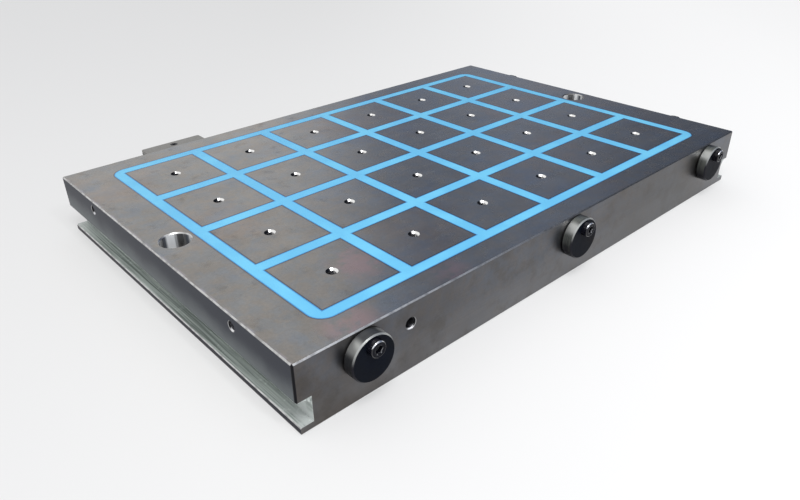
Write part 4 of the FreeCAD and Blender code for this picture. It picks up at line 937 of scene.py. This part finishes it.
def add_threads():
    """Threads inside the pole holes, the empty stop holes and the eye holes."""
    liner = thread_liner(HOLE_CORE, start=1.7, depth=8.0, pitch=HOLE_PITCH, count=32)
    add_turned("pole_hole_threads", liner, pole_places(TOP, (0, 0, 1)), "chuck", thread_steel(),
               closed_loop=True, sharp=80.0)
    liner = thread_liner(HOLE_CORE, start=1.2, depth=13.0, pitch=HOLE_PITCH, count=48)
    places = [((PLATE_LOW[0], side * STOP_HOLE_Y, STOP_HOLE_Z), (-1, 0, 0)) for side in (-1, 1)]
    add_turned("stop_hole_threads", liner, places, "chuck", DARK_THREAD, closed_loop=True,
               sharp=80.0)
    liner = thread_liner(EYE_CORE, start=1.1, depth=16.0, pitch=EYE_PITCH, count=48)
    holes = [MOUNTS["eye_hole_" + side] for side in ("front", "back")]
    places = [(hole["pos_m"], hole["axis"]) for hole in holes]
    add_turned("eye_hole_threads", liner, places, "chuck", DARK_THREAD, closed_loop=True,
               sharp=80.0)


def add_inlet():
    """Inlet shell with a knurled flange, a threaded barrel and its blind bore, in place of the plain one."""
    low, high = box_of("inlet_shell")
    wall = box_of("junction_box")[0][0]
    centre = (wall, (low[1] + high[1]) / 2, (low[2] + high[2]) / 2)
    spigot, reach = (high[0] - wall) / MM, (wall - low[0]) / MM
    rows = [(4.7, -spigot), (5.0, 0.3 - spigot), (5.0, 0.0), (6.7, 0.0), (7.0, 0.3, 0, 0.05),
            (7.0, 0.7, 0, 0.3), (7.0, 2.3, 0, 0.3), (7.0, 2.7, 0, 0.05), (6.7, 3.0), (5.6, 3.0)]
    rows += threaded_rows(5.6, 0.4, 3.6, reach - 0.4, 1.0)
    rows += [(5.5, reach), (4.9, reach), (4.5, reach - 0.4), (4.5, 3.05), (4.4, 3.0)]
    shell = add_turned("inlet_threaded_shell", turned(rows, 120, 30, 1.0), [(centre, (-1, 0, 0))], "chuck",
                       INLET_METAL)
    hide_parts("inlet_shell")


# Stage and light

FLOOR_GREY = (0.80, 0.80, 0.80, 1)
FLOOR_WHITE = (0.985, 0.985, 0.985, 1)
ROOM_COLOUR = (0.93, 0.92, 0.91, 1)


def add_floor():
    """Pale floor; its colour rises from grey to near white towards the bright side of the studio.

    Half of what the camera and reflections see is that plain colour, so its shadow stays faint.
    """
    half = 20.0
    corners = [(-half, -half, 0), (half, -half, 0), (half, half, 0), (-half, half, 0)]
    mesh = bpy.data.meshes.new("floor")
    mesh.from_pydata(corners, [], [(0, 1, 2, 3)])
    floor = bpy.data.objects.new("floor", mesh)
    bpy.context.scene.collection.objects.link(floor)
    material, tree, shader, place = new_material("floor_paint")
    across = vector_math(tree, "DOT_PRODUCT", place, BRIGHT_SIDE)
    colour = blend(tree, ramp(tree, across, -0.35, 0.75), FLOOR_GREY, FLOOR_WHITE)
    tree.links.new(colour, shader.inputs["Base Color"])
    shader.inputs["Roughness"].default_value = 1.0
    shader.inputs["Specular IOR Level"].default_value = 0.0
    ray = node(tree, "LightPath").outputs
    seen = calc(tree, "MAXIMUM", calc(tree, "MAXIMUM", ray["Is Camera Ray"], ray["Is Glossy Ray"]),
                ray["Is Transmission Ray"])
    plain = node(tree, "Emission", None, Color=colour, Strength=1.0).outputs[0]
    mixed = node(tree, "MixShader", None, Fac=product(tree, seen, 0.5))
    tree.links.new(shader.outputs[0], mixed.inputs[1])
    tree.links.new(plain, mixed.inputs[2])
    tree.links.new(mixed.outputs[0], tree.nodes["Material Output"].inputs["Surface"])
    mesh.materials.append(material)


# Brightness of the studio's walls by compass angle in degrees, from +y towards +x
WALLS = ((-180, 0.80), (-60, 0.92), (32, 0.96), (36, 0.66), (41, 0.30), (45, 0.32), (51, 0.42), (57, 0.36),
         (62, 0.22), (70, 0.14), (115, 0.20), (150, 0.60), (180, 0.80))


def add_world():
    """Studio room: pale ceiling and lower walls, with wall panels of their own brightness between."""
    world = bpy.data.worlds.new("studio")
    bpy.context.scene.world = world
    world.use_nodes = True
    tree = world.node_tree
    axes = parts_of(tree, node(tree, "TexCoord").outputs["Generated"])
    angle = calc(tree, "DEGREES", calc(tree, "ARCTAN2", axes["X"], axes["Y"]))
    tilt = product(tree, calc(tree, "SUBTRACT", axes["Z"], 0.34), 15.0)
    walls = node(tree, "ValToRGB", None,
                 Fac=calc(tree, "MULTIPLY_ADD", calc(tree, "SUBTRACT", angle, tilt), 1 / 360, 0.5))
    stops = walls.color_ramp.elements
    while len(stops) < len(WALLS):
        stops.new(0.5)
    for stop, (degrees, value) in zip(stops, WALLS):
        stop.position = degrees / 360 + 0.5
        dark = 1 - min(1.0, value / 0.9)
        stop.color = (value * (1 - 0.20 * dark), value * (1 + 0.02 * dark), value * (1 + 0.50 * dark), 1)
    middle = product(tree, ramp(tree, axes["Z"], 0.10, 0.20), ramp(tree, axes["Z"], 0.90, 0.65))
    background = tree.nodes["Background"]
    fill(tree, background.inputs["Color"], blend(tree, middle, ROOM_COLOUR, walls.outputs["Color"]))
    background.inputs["Strength"].default_value = 1.0


def add_softbox(name, place, aim, side, power):
    """Square area lamp at a place, turned towards its aim: side in metres, power in watts."""
    data = bpy.data.lights.new(name, "AREA")
    data.shape = "SQUARE"
    data.size = side
    data.energy = power
    lamp = bpy.data.objects.new(name, data)
    bpy.context.scene.collection.objects.link(lamp)
    place = Vector(place)
    turn = (Vector(aim) - place).to_track_quat("-Z", "Y").to_matrix().to_4x4()
    lamp.matrix_world = Matrix.Translation(place) @ turn


bpy.context.scene.view_settings.view_transform = "Standard"
add_camera()
BLACK_SCREW = black_oxide()
DARK_THREAD = simple_finish("dark_thread", (0.10, 0.10, 0.11, 1), 0.3, metallic=1.0, grain=900.0, depth=0.05,
                            vary=0.1)
INLET_METAL = simple_finish("dark_anodised", (0.07, 0.07, 0.075, 1), 0.28, metallic=0.8, grain=900.0)
finish_cad_nodes()
add_screws()
add_threads()
add_inlet()
add_floor()
add_world()
add_softbox("key_softbox", place=(-0.42, -0.58, 1.25), aim=(-0.05, -0.05, 0.05), side=0.45, power=7.0)
add_softbox("glint_softbox", place=(-0.20, -0.85, 0.95), aim=(0.0, -0.2, 0.04), side=0.07, power=2.0)
